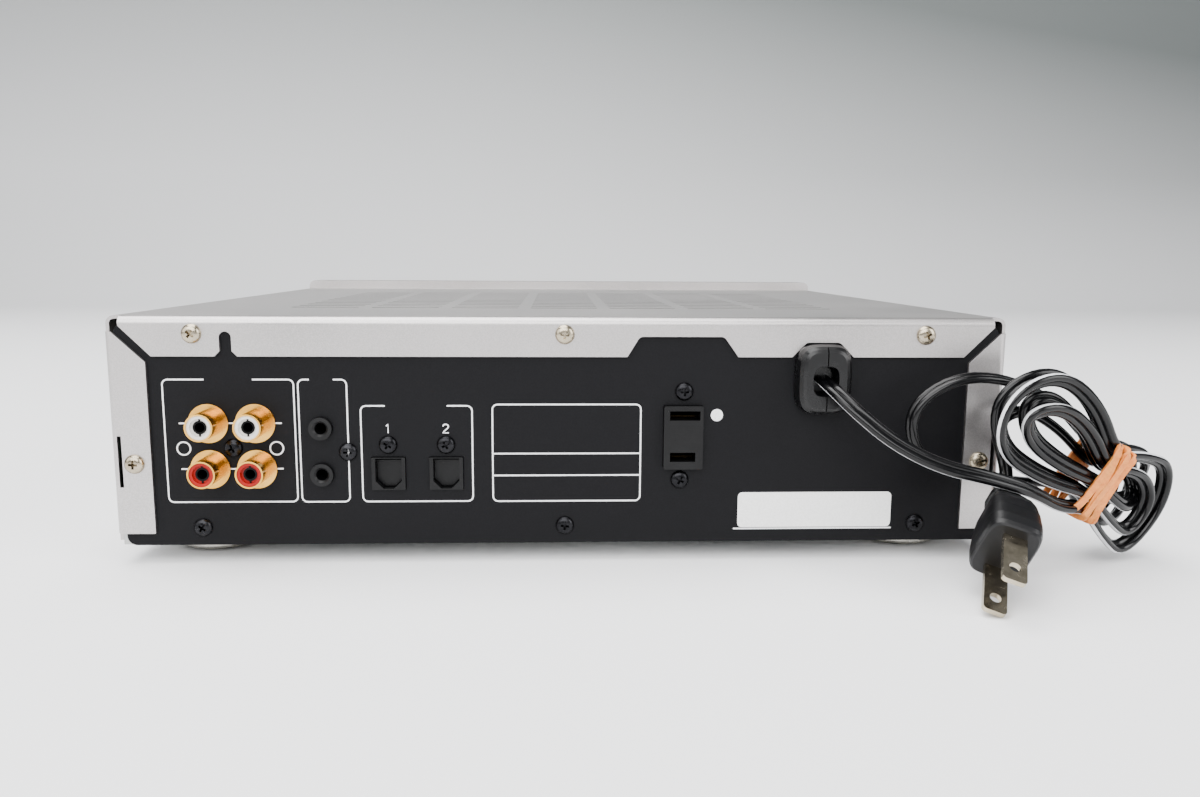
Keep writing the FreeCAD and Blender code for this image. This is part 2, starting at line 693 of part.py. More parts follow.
def rubber_band():
    """Flat band drawn round the strands at the tie."""
    axis, up, depth = hank_frame()
    tall = 4 * STRAND_PITCH + 2 * CORD_R + 2.2
    deep = (HANK_PLANES - 1) * STRAND_PITCH + 2 * CORD_R + 2.2
    outer = outline(round_rect(0, 0, deep + 2.4, tall + 2.4, 3.4))
    inner = outline(round_rect(0, 0, deep, tall, 2.2))
    band = Part.Face(outer).cut(Part.Face(inner)).extrude(Vector(0, 0, BAND_W))
    band.translate(Vector(0, -STRAND_PITCH / 2, -BAND_W / 2))
    return lay(band, place(HANK_AT), depth, up)


def lay(shape, at, x_axis, y_axis):
    """Move a shape drawn in its own axes to a place and two directions."""
    z_axis = x_axis.cross(y_axis)
    turn = FreeCAD.Rotation(FreeCAD.Matrix(x_axis.x, y_axis.x, z_axis.x, 0, x_axis.y, y_axis.y, z_axis.y, 0,
                                           x_axis.z, y_axis.z, z_axis.z, 0, 0, 0, 0, 1))
    shape.Placement = FreeCAD.Placement(at, turn).multiply(shape.Placement)
    return shape


BAND_W = 5.0
PLUG_AXIS = (0.37, 0.815, -0.445)
PLUG_TALL = (-0.12, 0.52, 0.845)
PLUG_AT = (-HALF + 5.0, 15.6, 28.0)
PLUG_LEN = 30.0
BLADE_LEN = 17.0
BLADE_PITCH = 12.7
LEAD_LEN = 9.0


def plug_pieces():
    """Moulded two-blade plug, built along +X with the blades one above the other in Z, then laid down."""
    relief = Part.makeLoft([section(0, 4.8, 3.6), section(8, 6.0, 4.6)], True, True)
    collar = Part.makeLoft([section(8, 10.0, 8.0), section(9.8, 10.0, 8.0)], True, True)
    body = Part.makeLoft([section(9.8, 9.0, 10.0), section(15, 13.0, 17.0), section(25, 15.0, 21.0),
                          section(PLUG_LEN, 13.5, 20.0)], True, True)
    plug = fuse([relief, collar, body])
    blades = []
    for z in (-BLADE_PITCH / 2, BLADE_PITCH / 2):
        blade = flat([(PLUG_LEN - 6, -3.175), (PLUG_LEN + BLADE_LEN, -3.175, 1.2),
                      (PLUG_LEN + BLADE_LEN, 3.175, 1.2), (PLUG_LEN - 6, 3.175)], z - 0.75, z + 0.75)
        blades.append(blade.cut(Part.makeCylinder(1.6, 4, Vector(PLUG_LEN + BLADE_LEN - 5, 0, z - 2))))
        plug = plug.cut(Part.makeBox(7, 6.35, 1.5, Vector(PLUG_LEN - 6, -3.175, z - 0.75)))
    tail, along, tall = plug_frame()
    wide = tall.cross(along)
    return lay(plug, tail, along, wide), lay(Part.makeCompound(blades), tail, along, wide)


def section(x, width, height):
    """A rounded-rectangle section of the plug at x."""
    wire = outline(round_rect(0, 0, width, height, min(width, height) * 0.3))
    wire.rotate(Vector(0, 0, 0), Vector(1, 1, 1), 120)
    wire.translate(Vector(x, 0, 0))
    return wire


# Front

BUTTONS = {
    "power_button": (-112.0, 56.0, 13.0, 13.0, 6.4),
    "eject_button": (48.0, 63.0, 14.0, 6.0, 2.0),
    "stop_button": (62.0, 24.0, 14.0, 9.0, 2.0),
    "play_button": (79.0, 24.0, 14.0, 9.0, 2.0),
    "record_button": (112.0, 24.0, 9.0, 9.0, 4.4),
    "back_button": (62.0, 42.0, 10.0, 5.5, 1.5),
    "forward_button": (76.0, 42.0, 10.0, 5.5, 1.5),
    "menu_button": (62.0, 54.0, 10.0, 5.5, 1.5)}


def front_panel():
    """Hollow front with a raised top strip, a framed slot, a window recess and holes for the controls."""
    outer = upright([(-HALF, PANEL_BOTTOM, 2), (HALF, PANEL_BOTTOM, 2), (HALF, PANEL_TOP, 3),
                     (-HALF, PANEL_TOP, 3)], FACE, FRONT)
    hollow = upright([(-HALF + 3, PANEL_BOTTOM + 3), (HALF - 3, PANEL_BOTTOM + 3), (HALF - 3, CASE_TOP - 3),
                      (-HALF + 3, CASE_TOP - 3)], FACE + 3, FRONT + 1)
    frame = upright(round_rect(SLOT_X, SLOT_Z, SLOT_W + 5, SLOT_H + 5, 2), FACE + 2, FRONT)
    lug = [box(SLOT_X + s * (SLOT_W / 2 + 2.5) - 2, SLOT_X + s * (SLOT_W / 2 + 2.5) + 2, FRONT, FRONT + 5,
               SLOT_Z - 2, SLOT_Z + 6) for s in (-1, 1)]
    panel = fuse([outer.cut(hollow), frame] + lug)
    cuts = [upright(round_rect(SLOT_X, SLOT_Z, SLOT_W, SLOT_H, 1.5), FACE - 1, FRONT + 1)]
    x, z, w, h = WINDOW
    cuts.append(upright(round_rect(x, z, w, h, 2), FACE - 1, FRONT))
    for x, z, w, h, r in BUTTONS.values():
        cuts.append(upright(round_rect(x, z, w + 2 * FIT, h + 2 * FIT, r), FACE - 1, FACE + 5))
    cuts.append(hole(JOG[0], JOG[1], 4.0, FACE - 1, FACE + 5))
    cuts.append(hole(LEVEL[0], LEVEL[1], 3.5, FACE - 1, FACE + 5))
    cuts.append(rod(SLOT_X - SLOT_W / 2 - 3.8, FRONT + 3, SLOT_Z + 3.6, (1, 0, 0), 0.8 + RUN, SLOT_W + 7.6))
    return panel.cut(Part.makeCompound(cuts))


def display_window():
    x, z, w, h = WINDOW
    pane = upright(round_rect(x, z, w - 0.4, h - 0.4, 1.8), FACE + 0.6, FACE + 3)
    return pane.fuse(upright(round_rect(x, z, w + 4, h + 4, 2), FACE + 3, FACE + 4.4))


def slot_flap():
    """Door behind the slot: a plate on a pin along its top edge, swinging inwards."""
    w = SLOT_W - 1.0
    plate = box(SLOT_X - w / 2, SLOT_X + w / 2, FRONT + 2.4, FRONT + 3.6,
                SLOT_Z - SLOT_H / 2 - 0.2, SLOT_Z + 3.6)
    pin = rod(SLOT_X - SLOT_W / 2 - 3.0, FRONT + 3, SLOT_Z + 3.6, (1, 0, 0), 0.8, SLOT_W + 6)
    return plate.fuse(pin)


def button(name):
    """Cap with a dished edge, and a plunger back to its switch."""
    x, z, w, h, r = BUTTONS[name]
    cap = upright(round_rect(x, z, w, h, r), FACE - 1.6, FACE + 4.4)
    rim_h = h + 2 * BUTTON_RIM
    rim = round_rect(x, z, w + 2 * BUTTON_RIM, rim_h, min(r + 1, rim_h / 2 - 0.1))
    cap = cap.fuse(upright(rim, FACE + 4.4, FACE + 5.6))
    return cap.fuse(rod(x, FACE + 5.6, z, (0, 1, 0), 1.5, 1.6))


def jog_dial():
    """Fluted dial with a finger dimple, on its shaft."""
    x, z, r = JOG
    dial = hole(x, z, r, FACE - DIAL_OUT, FACE - 1.2)
    flutes = []
    for k in range(24):
        angle = 2 * math.pi * k / 24
        flutes.append(hole(x + (r + 0.5) * math.cos(angle), z + (r + 0.5) * math.sin(angle), 0.9,
                           FACE - DIAL_OUT - 1, FACE - 3))
    dial = dial.cut(Part.makeCompound(flutes))
    dial = dial.cut(Part.makeSphere(8, Vector(x - 6, FACE - DIAL_OUT - 6.6, z + 6)))
    return dial.fuse(hole(x, z, 3.0, FACE - 1.2, FRONT - 6))


def level_knob():
    x, z, r = LEVEL
    knob = hole(x, z, r, FACE - 7.5, FACE - 1.2)
    knob = knob.cut(box(x - 0.5, x + 0.5, FACE - 8, FACE - 6.6, z + 2, z + r + 1))
    return knob.fuse(hole(x, z, 2.5, FACE - 1.2, FRONT - 6))


def front_board():
    """Board behind the panel with a switch for each button and a sleeve for each shaft."""
    y0 = FRONT - 5.4
    board = box(-126, 126, y0, y0 + 1.6, 14, SLOT_Z - SLOT_H / 2 - 3)
    board = board.cut(block(WINDOW[0], y0 + 1, WINDOW[1] - 11, WINDOW[2] + 2, 4, 22))
    board = board.fuse(box(37, 56, y0, y0 + 1.6, 50, 68)).fuse(box(-126, -60, y0, y0 + 1.6, 50, 64))
    shapes = [board]
    for x, z, w, h, r in BUTTONS.values():
        shapes.append(box(x - 3, x + 3, y0 - 0.6, y0, z - 3, z + 3))
    for x, z, r in ((JOG[0], JOG[1], 3.0), (LEVEL[0], LEVEL[1], 2.5)):
        shapes.append(hole(x, z, 5.5, FRONT - 9, y0))
    board = fuse(shapes)
    for x, z, r in ((JOG[0], JOG[1], 3.0), (LEVEL[0], LEVEL[1], 2.5)):
        board = board.cut(hole(x, z, r + RUN, FRONT - 10, FRONT))
    return board


def display_tube():
    x, z, w, h = WINDOW
    tube_body = upright(round_rect(x, z, w - 2, h - 1, 2), FACE + 4.8, FACE + 9.2)
    foot_strip = box(x - w / 2 + 4, x + w / 2 - 4, FACE + 9.2, FACE + 10.4, z - h / 2, z - h / 2 + 2)
    return tube_body.fuse(foot_strip)


# Boards and power supply

def main_board():
    board = box(28, 128, REAR - 92, REAR - 5, 14, 15.6)
    chips = [block(64, REAR - 50, 15.6, 18, 18, 2.2), block(98, REAR - 62, 15.6, 12, 12, 2.0),
             block(98, REAR - 40, 15.6, 10, 14, 2.0)]
    return fuse([board] + chips)


def power_board():
    board = box(-130, -22, REAR - 92, REAR - 26, 14, 15.6)
    fuse_holder = block(-64, REAR - 34, 15.6, 26, 7, 9)
    return board.fuse(fuse_holder)


def transformer():
    """Laminated core with a wound bobbin and mounting ears on the board."""
    x, y, z = -104, REAR - 60, 15.6
    core = block(x, y, z, 42, 22, 36).cut(block(x - 10, y, z + 7, 8, 30, 22)).cut(
        block(x + 10, y, z + 7, 8, 30, 22))
    coil = flat([(x - 13, y - 17, 4), (x + 13, y - 17, 4), (x + 13, y + 17, 4), (x - 13, y + 17, 4)],
                z + 7.4, z + 28.6)
    return core.fuse(coil)


def capacitors():
    cans = []
    for x, dy, r, h in ((-60, 60, 9, 26), (-40, 60, 9, 26), (-60, 80, 6, 18), (-44, 80, 6, 18)):
        can = rod(x, REAR - dy, 15.6, (0, 0, 1), r, h)
        cans.append(can)
    return Part.makeCompound(cans)


def heat_sink():
    plate = block(-30, REAR - 38, 15.6, 3, 14, 30)
    fins = [block(-33.5, REAR - 32.5 - k * 3.6, 18, 5, 1.2, 27) for k in range(4)]
    return fuse([plate] + fins)


# Minidisc mechanism: the disc goes in from the front, the holder lowers it onto the turntable

MECH_W = 108.0
MECH_Y0 = FRONT + 12
MECH_Y1 = FRONT + 118
SPINDLE_Y = FRONT + 54
ROD_Z = MECH_BASE + 4
LENS_START = 15.0
SCREW_Z = MECH_BASE + 6.6
SCREW_X = MECH_X + 13


def mech_frame():
    """Pressed frame with folded walls, a window for the sled, guide slots for the holder and mounting ears."""
    x0 = MECH_X - MECH_W / 2
    x1 = MECH_X + MECH_W / 2
    base = MECH_BASE
    plate = box(x0, x1, MECH_Y0, MECH_Y1, base, base + 1.2)
    walls = [box(x, x + 1.2, MECH_Y0 + 4, MECH_Y1, base + 1.2, MECH_TOP) for x in (x0, x1 - 1.2)]
    rail_ends = []
    for y in (SPINDLE_Y + 13, SPINDLE_Y + 50):
        rail_ends.append(box(MECH_X - 26, MECH_X + 26, y, y + 3, base + 1.2, base + 6.8))
        rail_ends.append(box(SCREW_X - 3.4, SCREW_X + 3.4, y, y + 3, base + 1.2, base + 9.6))
    ledge = box(x1, x1 + 7, MECH_Y0 + 12, MECH_Y1, base, base + 1.2)
    frame = fuse([plate, ledge] + walls + rail_ends)
    cuts = [block(MECH_X + 1, SPINDLE_Y + 33, base - 1, 44, 32, 4)]
    for wall_x in (x0 - 1, x1 - 2):
        for y in (MECH_Y0 + 22, MECH_Y0 + 70):
            cuts.append(box(wall_x, wall_x + 3, y - 1.9, y + 1.9,
                            HOLDER_FLOOR + 0.3 - DISC_LIFT, HOLDER_FLOOR + 4.2))
    for y in (SPINDLE_Y + 12, SPINDLE_Y + 49):
        for x in (MECH_X - 20, MECH_X + 20):
            cuts.append(rod(x, y, ROD_Z, (0, 1, 0), 1.5, 5))
        cuts.append(rod(SCREW_X, y, SCREW_Z, (0, 1, 0), 1.5 + RUN, 5))
    for x in (-48, 48):
        for y in (24, 108):
            cuts.append(rod(MECH_X + x, FRONT + y, base - 1, (0, 0, 1), 1.6, 4))
    return frame.cut(Part.makeCompound(cuts))


def spindle_motor():
    base = MECH_BASE + 1.2
    body = rod(MECH_X, SPINDLE_Y, base, (0, 0, 1), 11, 6.0)
    return body.cut(rod(MECH_X, SPINDLE_Y, base - 1, (0, 0, 1), 1.0 + RUN, 9))


def turntable():
    base = MECH_BASE + 1.2
    shaft = rod(MECH_X, SPINDLE_Y, base + 0.6, (0, 0, 1), 1.0, 10)
    table = rod(MECH_X, SPINDLE_Y, base + 8.2, (0, 0, 1), 8.2, 1.6)
    cone = Part.makeCone(4.0, 2.6, 2.0, Vector(MECH_X, SPINDLE_Y, base + 9.8), Vector(0, 0, 1))
    return fuse([shaft, table, cone])


def guide_rods():
    return Part.makeCompound([rod(MECH_X + x, SPINDLE_Y + 12, ROD_Z, (0, 1, 0), 1.5, 42) for x in (-20, 20)])


def lead_screw():
    """Screw between the rail ends, with a gear on its rear end."""
    y0 = SPINDLE_Y + 12
    shaft = rod(SCREW_X, y0 - 1, SCREW_Z, (0, 1, 0), 1.5, 46)
    thread = rod(SCREW_X, y0 + 5, SCREW_Z, (0, 1, 0), 1.9, 31)
    wheel = gear(SCREW_TEETH, SLED_MODULE, 2.0, 0.5)
    wheel.rotate(Vector(0, 0, 0), Vector(1, 0, 0), -90)
    wheel.translate(Vector(SCREW_X, y0 + 42.4, SCREW_Z))
    return fuse([shaft, thread, wheel])


def sled_pinion_centre():
    """Beside the screw's gear, a centre distance off, at a slope of the motor's seat."""
    reach = (SCREW_TEETH + SLED_PINION_TEETH) * SLED_MODULE / 2 + 0.1
    angle = math.radians(20)
    return SCREW_X + reach * math.cos(angle), SCREW_Z + reach * math.sin(angle)


def sled_pinion():
    x, z = sled_pinion_centre()
    y = SPINDLE_Y + 54.4
    wheel = gear(SLED_PINION_TEETH, SLED_MODULE, 2.0, 0.5)
    wheel.rotate(Vector(0, 0, 0), Vector(0, 0, 1), 180 - 20 + 180 / SLED_PINION_TEETH + PINION_PHASE)
    wheel.rotate(Vector(0, 0, 0), Vector(1, 0, 0), -90)
    return wheel.fuse(rod(0, -0.2, 0, (0, 1, 0), 0.8, 7)).translated(Vector(x, y, z))


def sled_motor():
    """Round motor behind the rear rail end, on its bracket."""
    x, z = sled_pinion_centre()
    y = SPINDLE_Y + 57.4
    can = rod(x, y, z, (0, 1, 0), 5.0, 13)
    seat = box(x - 4, x + 4, y + 0.5, y + 5, MECH_BASE + 1.2, z - 3.5)
    return can.fuse(seat).cut(rod(x, y - 1, z, (0, 1, 0), 0.8 + RUN, 7))


def pickup_sled():
    """Casting on the two rods, with a raised lens turret and an engaging arm over the screw."""
    base = MECH_BASE
    y = SPINDLE_Y + 20
    body = block(MECH_X, y + 5, base + 1.6, 48, 14, 5.4)
    body = body.cut(block(MECH_X, y + 5, base + 1, 20, 9, 2.6))
    for x in (-20, 20):
        body = body.cut(rod(MECH_X + x, y - 4, ROD_Z, (0, 1, 0), 1.5 + RUN, 20))
    body = body.cut(rod(SCREW_X, y - 4, SCREW_Z, (0, 1, 0), 2.2, 20))
    turret = box(MECH_X - 6, MECH_X + 6, SPINDLE_Y + 11.6, y + 7, base + 7, base + 9)
    lens = Part.makeCylinder(2.2, 0.8, Vector(MECH_X, SPINDLE_Y + LENS_START, base + 9))
    return fuse([body, turret, lens])


def cartridge_holder():
    """Folded tray that takes the cartridge, with a window below, a flared mouth and four guide pins."""
    w = 70.6
    floor = HOLDER_FLOOR
    y0 = FRONT + 15
    y1 = y0 + 72
    shape = box(MECH_X - w / 2, MECH_X + w / 2, y0, y1, floor, floor + HOLDER_H)
    shape = shape.cut(box(MECH_X - w / 2 + 0.8, MECH_X + w / 2 - 0.8, y0 - 1, y1 - 0.8,
                          floor + 0.8, floor + HOLDER_H - 0.8))
    shape = shape.cut(block(MECH_X, y0 + 43, floor - 1, 34, 60, 3))
    shape = shape.cut(block(MECH_X, y0 + 40, floor + 6, 46, 50, 3))
    pins = []
    for y in (MECH_Y0 + 22, MECH_Y0 + 70):
        for sign in (-1, 1):
            start = MECH_X + (w / 2 - 0.2 if sign > 0 else -MECH_W / 2 + 0.2)
            pins.append(rod(start, y, floor + 2.2, (1, 0, 0), 1.6, MECH_W / 2 - w / 2))
    return fuse([shape] + pins)


def head_arm():
    """Arm that carries the magnetic head, pivoted across the rear of the mechanism."""
    z = MECH_TOP - 0.5
    y = MECH_Y1 - 12
    pivot = rod(MECH_X - MECH_W / 2 + 1.5, y, z - 2, (1, 0, 0), 1.4, MECH_W - 3)
    arm = flat([(MECH_X - 16, y + 3), (MECH_X - 4, y - 33), (MECH_X + 4, y - 33), (MECH_X + 16, y + 3)],
               z - 2.6, z - 1.4)
    head = block(MECH_X, y - 30, z - 4.4, 5, 5, 1.9)
    return fuse([pivot, arm, head])


def cam_slider():
    """Sliding plate beside the holder with a rack along its foot."""
    x = MECH_X + MECH_W / 2 + 2.2
    base = MECH_BASE + 1.6
    plate = box(x, x + 1.4, MECH_Y0 + 12, MECH_Y1 - 8, base, HOLDER_FLOOR + 5)
    rack_y = MECH_Y0 + 30
    rail = box(x, x + 5, MECH_Y0 + 12, MECH_Y1 - 8, base, base + 2)
    teeth = []
    pitch = math.pi * GEAR_MODULE
    for k in range(16):
        y = rack_y + (k + 0.5) * pitch
        teeth.append(flat([(x + 5, y - 0.34 * pitch), (x + 6.6, y - 0.12 * pitch),
                           (x + 6.6, y + 0.12 * pitch), (x + 5, y + 0.34 * pitch)], base, base + 2))
    return fuse([plate, rail] + teeth)


def loading_gear_centre():
    x = MECH_X + MECH_W / 2 + 2.2 + 5 + 1.15 * GEAR_MODULE + GEAR_TEETH * GEAR_MODULE / 2
    y = MECH_Y0 + 30 + 8 * math.pi * GEAR_MODULE
    return x, y


def loading_gear():
    x, y = loading_gear_centre()
    wheel = gear(GEAR_TEETH, GEAR_MODULE, 2.0, 1.5 + RUN)
    wheel.rotate(Vector(0, 0, 0), Vector(0, 0, 1), 180)
    return wheel.translated(Vector(x, y, MECH_BASE + 1.6))


def loading_pinion():
    x, y = loading_gear_centre()
    reach = (GEAR_TEETH + PINION_TEETH) * GEAR_MODULE / 2 + 0.1
    wheel = gear(PINION_TEETH, GEAR_MODULE, 3.0, 0.9)
    wheel.rotate(Vector(0, 0, 0), Vector(0, 0, 1), 90 + 180 / PINION_TEETH)
    shaft = Part.makeCylinder(0.9, 9, Vector(0, 0, -6))
    return wheel.fuse(shaft).translated(Vector(x, y + reach, MECH_BASE + 1.5))


def loading_motor():
    """Motor under the pinion with a side bracket that also carries the gear's post."""
    x, y = loading_gear_centre()
    reach = (GEAR_TEETH + PINION_TEETH) * GEAR_MODULE / 2 + 0.1
    top = MECH_BASE + 1.2
    inner = MECH_X + MECH_W / 2 + 7.2
    bracket = box(inner, x + 7, y - 8, y + reach + 9, MECH_BASE, top)
    post = rod(x, y, top, (0, 0, 1), 1.5, 4.0)
    can = rod(x, y + reach, MECH_BASE - 12, (0, 0, 1), 8.0, 12.0)
    shape = fuse([bracket, post, can])
    return shape.cut(rod(x, y + reach, MECH_BASE - 13, (0, 0, 1), 0.9 + RUN, 16))


def main():
    os.makedirs("parts", exist_ok=True)
    save("top_cover", top_cover())
    save("rear_panel", rear_panel())
    save("chassis_tray", chassis_tray())
    save("feet", Part.makeCompound([foot(x, y) for x, y in foot_places()]))
    save("foot_pads", Part.makeCompound([foot_pad(x, y) for x, y in foot_places()]))
    save("cover_screws", Part.makeCompound([
        screw(x, REAR, z, (0, 1, 0), 3.0, 1.6, 3.6) for x, z in cover_screw_places()]))
    save("panel_screws", Part.makeCompound([
        screw(x, PANEL_Y, z, (0, 1, 0), 2.75, 1.4, 5.0) for x, z in panel_screw_places()]))
    save("rca_shells", Part.makeCompound([rca_shell(x, z) for x in RCA_X for z in RCA_Z]))
    save("rca_inserts_white", Part.makeCompound([rca_insert(x, RCA_Z[0]) for x in RCA_X]))
    save("rca_inserts_red", Part.makeCompound([rca_insert(x, RCA_Z[1]) for x in RCA_X]))
    save("rca_block", rca_block())
    save("remote_jacks", Part.makeCompound([remote_jack(z) for z in REMOTE_Z] + [remote_post()]))
    for number, x in enumerate(OPTICAL_X, 1):
        save("optical_socket_%d" % number, optical_socket(x))
        save("optical_shutter_%d" % number, optical_shutter(x))
    save("outlet_body", outlet_body())
    save("outlet_contacts", outlet_contacts())
    save("cord_bush", cord_bush())

    free_points = cord_route()
    path, radii = rounded_path(free_points)
    free = tube(path, CORD_R)
    section_area = 1.5 * math.sqrt(3) * CORD_R ** 2
    print("free stretch", round(path.Length, 1), "radii", [round(r, 1) for r in radii],
          "volume share", round(free.Volume / (path.Length * section_area), 3))
    save("power_cord", free)
    lead = lead_route()
    wound = biarc_path([free_points[-1]] + hank_points() + [lead[0]],
                       free_points[-1] - free_points[-2], lead[1] - lead[0])
    gap, where = least_gap(wound, CORD_R)
    print("hank", round(wound.Length, 1), "least gap", round(gap, 2), "at", where,
          "lowest", round(wound.BoundBox.ZMin - CORD_R, 2))
    radii = [e.Curve.Radius for e in wound.Edges if hasattr(e.Curve, "Radius")]
    coil = tube(wound, CORD_R)
    print("smallest loop radius", round(min(radii), 1),
          "volume share", round(coil.Volume / (wound.Length * section_area), 3))
    save("cord_hank", coil)
    save("plug_lead", tube(Part.Wire([Part.LineSegment(*lead).toShape()]), CORD_R))
    save("rubber_band", rubber_band())
    plug, blades = plug_pieces()
    save("plug_body", plug)
    save("plug_blades", blades)

    save("front_panel", front_panel())
    save("display_window", display_window())
    save("slot_flap", slot_flap())
    for name in BUTTONS:
        save(name, button(name))
    save("jog_dial", jog_dial())
    save("level_knob", level_knob())
    save("front_board", front_board())
    save("display_tube", display_tube())

    save("main_board", main_board())
    save("power_board", power_board())
    save("transformer", transformer())
    save("capacitors", capacitors())
    save("heat_sink", heat_sink())

    save("mech_frame", mech_frame())
    save("spindle_motor", spindle_motor())
    save("turntable", turntable())
    save("guide_rods", guide_rods())
    save("lead_screw", lead_screw())
    save("sled_motor", sled_motor())
    save("sled_pinion", sled_pinion())
    save("pickup_sled", pickup_sled())
    save("cartridge_holder", cartridge_holder())
    save("head_arm", head_arm())
    save("cam_slider", cam_slider())
    save("loading_gear", loading_gear())
    save("loading_pinion", loading_pinion())
    save("loading_motor", loading_motor())


main()
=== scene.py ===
"""Looks of a slot-loading minidisc deck, seen from its connector side.

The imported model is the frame: +Z is up, the front faces -Y, the connectors face +Y. Metres throughout,
so a size in millimetres is written as a number times MM.
"""

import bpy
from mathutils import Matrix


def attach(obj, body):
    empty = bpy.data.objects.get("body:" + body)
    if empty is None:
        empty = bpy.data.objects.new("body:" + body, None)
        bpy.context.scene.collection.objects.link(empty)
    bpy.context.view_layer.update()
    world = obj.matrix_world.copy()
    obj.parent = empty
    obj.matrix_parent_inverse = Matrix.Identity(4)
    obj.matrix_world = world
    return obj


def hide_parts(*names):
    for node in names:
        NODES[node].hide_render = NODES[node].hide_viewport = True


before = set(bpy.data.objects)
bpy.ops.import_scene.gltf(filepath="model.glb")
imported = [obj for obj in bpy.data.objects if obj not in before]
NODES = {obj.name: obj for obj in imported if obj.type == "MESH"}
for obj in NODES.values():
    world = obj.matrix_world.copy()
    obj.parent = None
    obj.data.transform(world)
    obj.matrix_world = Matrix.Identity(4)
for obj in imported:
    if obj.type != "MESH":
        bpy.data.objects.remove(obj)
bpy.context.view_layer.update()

import math

import bmesh
import bpy
from bpy.props import FloatProperty, FloatVectorProperty, PointerProperty
from mathutils import Matrix, Vector

bl_info = {
    "name": "Minidisc deck",
    "version": (1, 0, 0),
    "blender": (4, 5, 0),
    "location": "View3D > Sidebar > Deck",
    "description": "Finishes, prints, screws, mains cord and studio of a minidisc deck",
    "category": "Object",
}

MM = 0.001

# Planes that the pieces are placed from
REAR = 128.5 * MM
PANEL = 127.5 * MM

# Photographed places on the rear, (x, z) in millimetres
COVER_SCREWS = ((-111.5, 71.75), (0.0, 71.75), (111.5, 71.75), (-130.6, 32.0), (130.6, 32.0))
PANEL_SCREWS = ((-111.5, 11.8), (0.0, 11.8), (111.5, 11.8), (101.15, 36.7), (66.5, 35.4),
                (54.3, 37.6), (36.6, 37.6), (-36.9, 54.1), (-35.9, 26.3))
RCA_X = (108.2, 94.1)
RCA_Z = (44.4, 30.2)
PLATE = (-23.5, 22.3, 19.6, 50.1)
PLATE_RULES = (34.7, 27.8)
BUSH = (-79.6, 58.2)
# Bounds, in metres, of the dark grey on the cover below its top skin: bare steel at the vent walls, and
# painted shade in the slots and under the cover
CUT_EDGE_AND_SHADE_TOP = 76.9 * MM
CUT_EDGE_AND_SHADE_AHEAD = 122 * MM
CUT_EDGE_AND_SHADE_INBOARD = 130 * MM

# Painted shade in the phono jacks: profile of the black disc and ring over the centre hole as (radius,
# height), and the size of the black keys for the slits, in millimetres
JACK_FACE = REAR + 6.3 * MM
HOLE_SHADE_PROFILE = ((0, -8), (1.5, -8), (1.5, 0.15), (2.05, 0.15), (2.05, 0.02), (1.69, 0.02), (1.69, -8.1), (0, -8.1))
SLIT_SHADE_SIZE = (0.55 * MM, 1.3 * MM, 0.13 * MM)
SLIT_SHADE_OUT = 2.7 * MM
SLIT_SHADE_RISE = 0.085 * MM

# Lofted forms: (height, width, depth) of each ring, in millimetres
BUSH_NOSE = ((-1.0, 17.0, 21.4), (0.6, 17.3, 21.7), (2.6, 17.2, 21.6), (4.8, 16.0, 20.6),
             (5.9, 14.2, 19.0), (6.4, 12.4, 17.2), (6.1, 10.8, 15.6), (5.2, 10.2, 15.0))
BUSH_MOUTH = ((0.5, 6.4, 7.6), (8.0, 8.4, 9.8))
PLUG_FORM = ((7.6, 6.2, 5.2), (7.8, 10.4, 8.2), (8.0, 10.8, 8.6), (9.6, 10.8, 8.6), (9.8, 10.2, 8.0),
             (10.2, 9.4, 9.6), (11.4, 10.2, 13.0), (13.0, 11.8, 15.4), (15.5, 13.2, 17.4),
             (20.0, 14.4, 19.6), (25.0, 15.0, 21.0), (28.2, 14.8, 21.0), (29.5, 14.2, 20.4),
             (30.0, 13.2, 19.4))
RELIEF_RIBS = 4

# Prints, in millimetres: frames as x, x, z, z and the gap where a title stood
FRAMES = ((82.3, 121.4, 19.8, 57.8, (94.6, 109.0)), (66.4, 81.0, 19.7, 57.8, (70.4, 77.6)),
          (28.5, 62.4, 19.7, 49.7, (36.2, 55.0)), PLATE)
LEADERS = ((117.1, 114.2), (102.4, 99.9), (89.0, 86.3))
RINGS = ((116.05, 36.6), (88.1, 36.6))
RING_R = 2.0
LABEL_LINE = ((-53.2, 10.3), (-103.85, 10.3))
DOT = (-47.2, 46.7)
DOT_R = 1.9 * MM
INK = 0.02 * MM
NUMBERS = (("1", 54.3), ("2", 36.6))
NUMBER_Z = 42.6
LABEL = (-79.0, 16.4)
LABEL_SIZE = (49.0 * MM, 11.3 * MM, 1)
LABEL_CORNER = 1.4 * MM
LABEL_THICK = 0.12 * MM

# Screws: head radius, head height, shank radius and shank length
COVER_SCREW = (3.0 * MM, 1.6 * MM, 1.4 * MM, 3.5 * MM)
PANEL_SCREW = (2.85 * MM, 1.4 * MM, 1.4 * MM, 4.9 * MM)
FIRST_TURN = 23
NEXT_TURN = 61

# Mains cord: where it leaves the bush, and the wound hank beside the deck
HANK_AT = Vector((-162.646, 9.13, 31.329))
HANK_AXIS = Vector((-0.86, -0.2, -0.47)).normalized()
HANK_DEPTH = (Vector((0, 1, 0)) - HANK_AXIS * HANK_AXIS.y).normalized()
HANK_UP = HANK_AXIS.cross(HANK_DEPTH) * -1
STRAND_PITCH = 5.375
HANK_SPREAD = 0.014
TIE_SQUEEZE = 0.8
LEFT_LOBES = (
    ((172.58, 49.647, 33.291), (172.58, 40.125, 16.192)),
    ((167.428, 41.592, 32.616), (167.428, 34.995, 15.022)),
    ((184.011, 56.241, 37.009), (184.011, 34.227, 17.149)))
RIGHT_LOBES = {-1: (33.685, 40.901), 0: (30.15, 27.322), 1: (21.394, 11.336)}
RIGHT_DIRECTION = 0.812
RIGHT_LEAN = -0.309
LOOPS = ((0, 0), (0, 1), (1, 1), (1, 0), (2, 0), (2, 1))
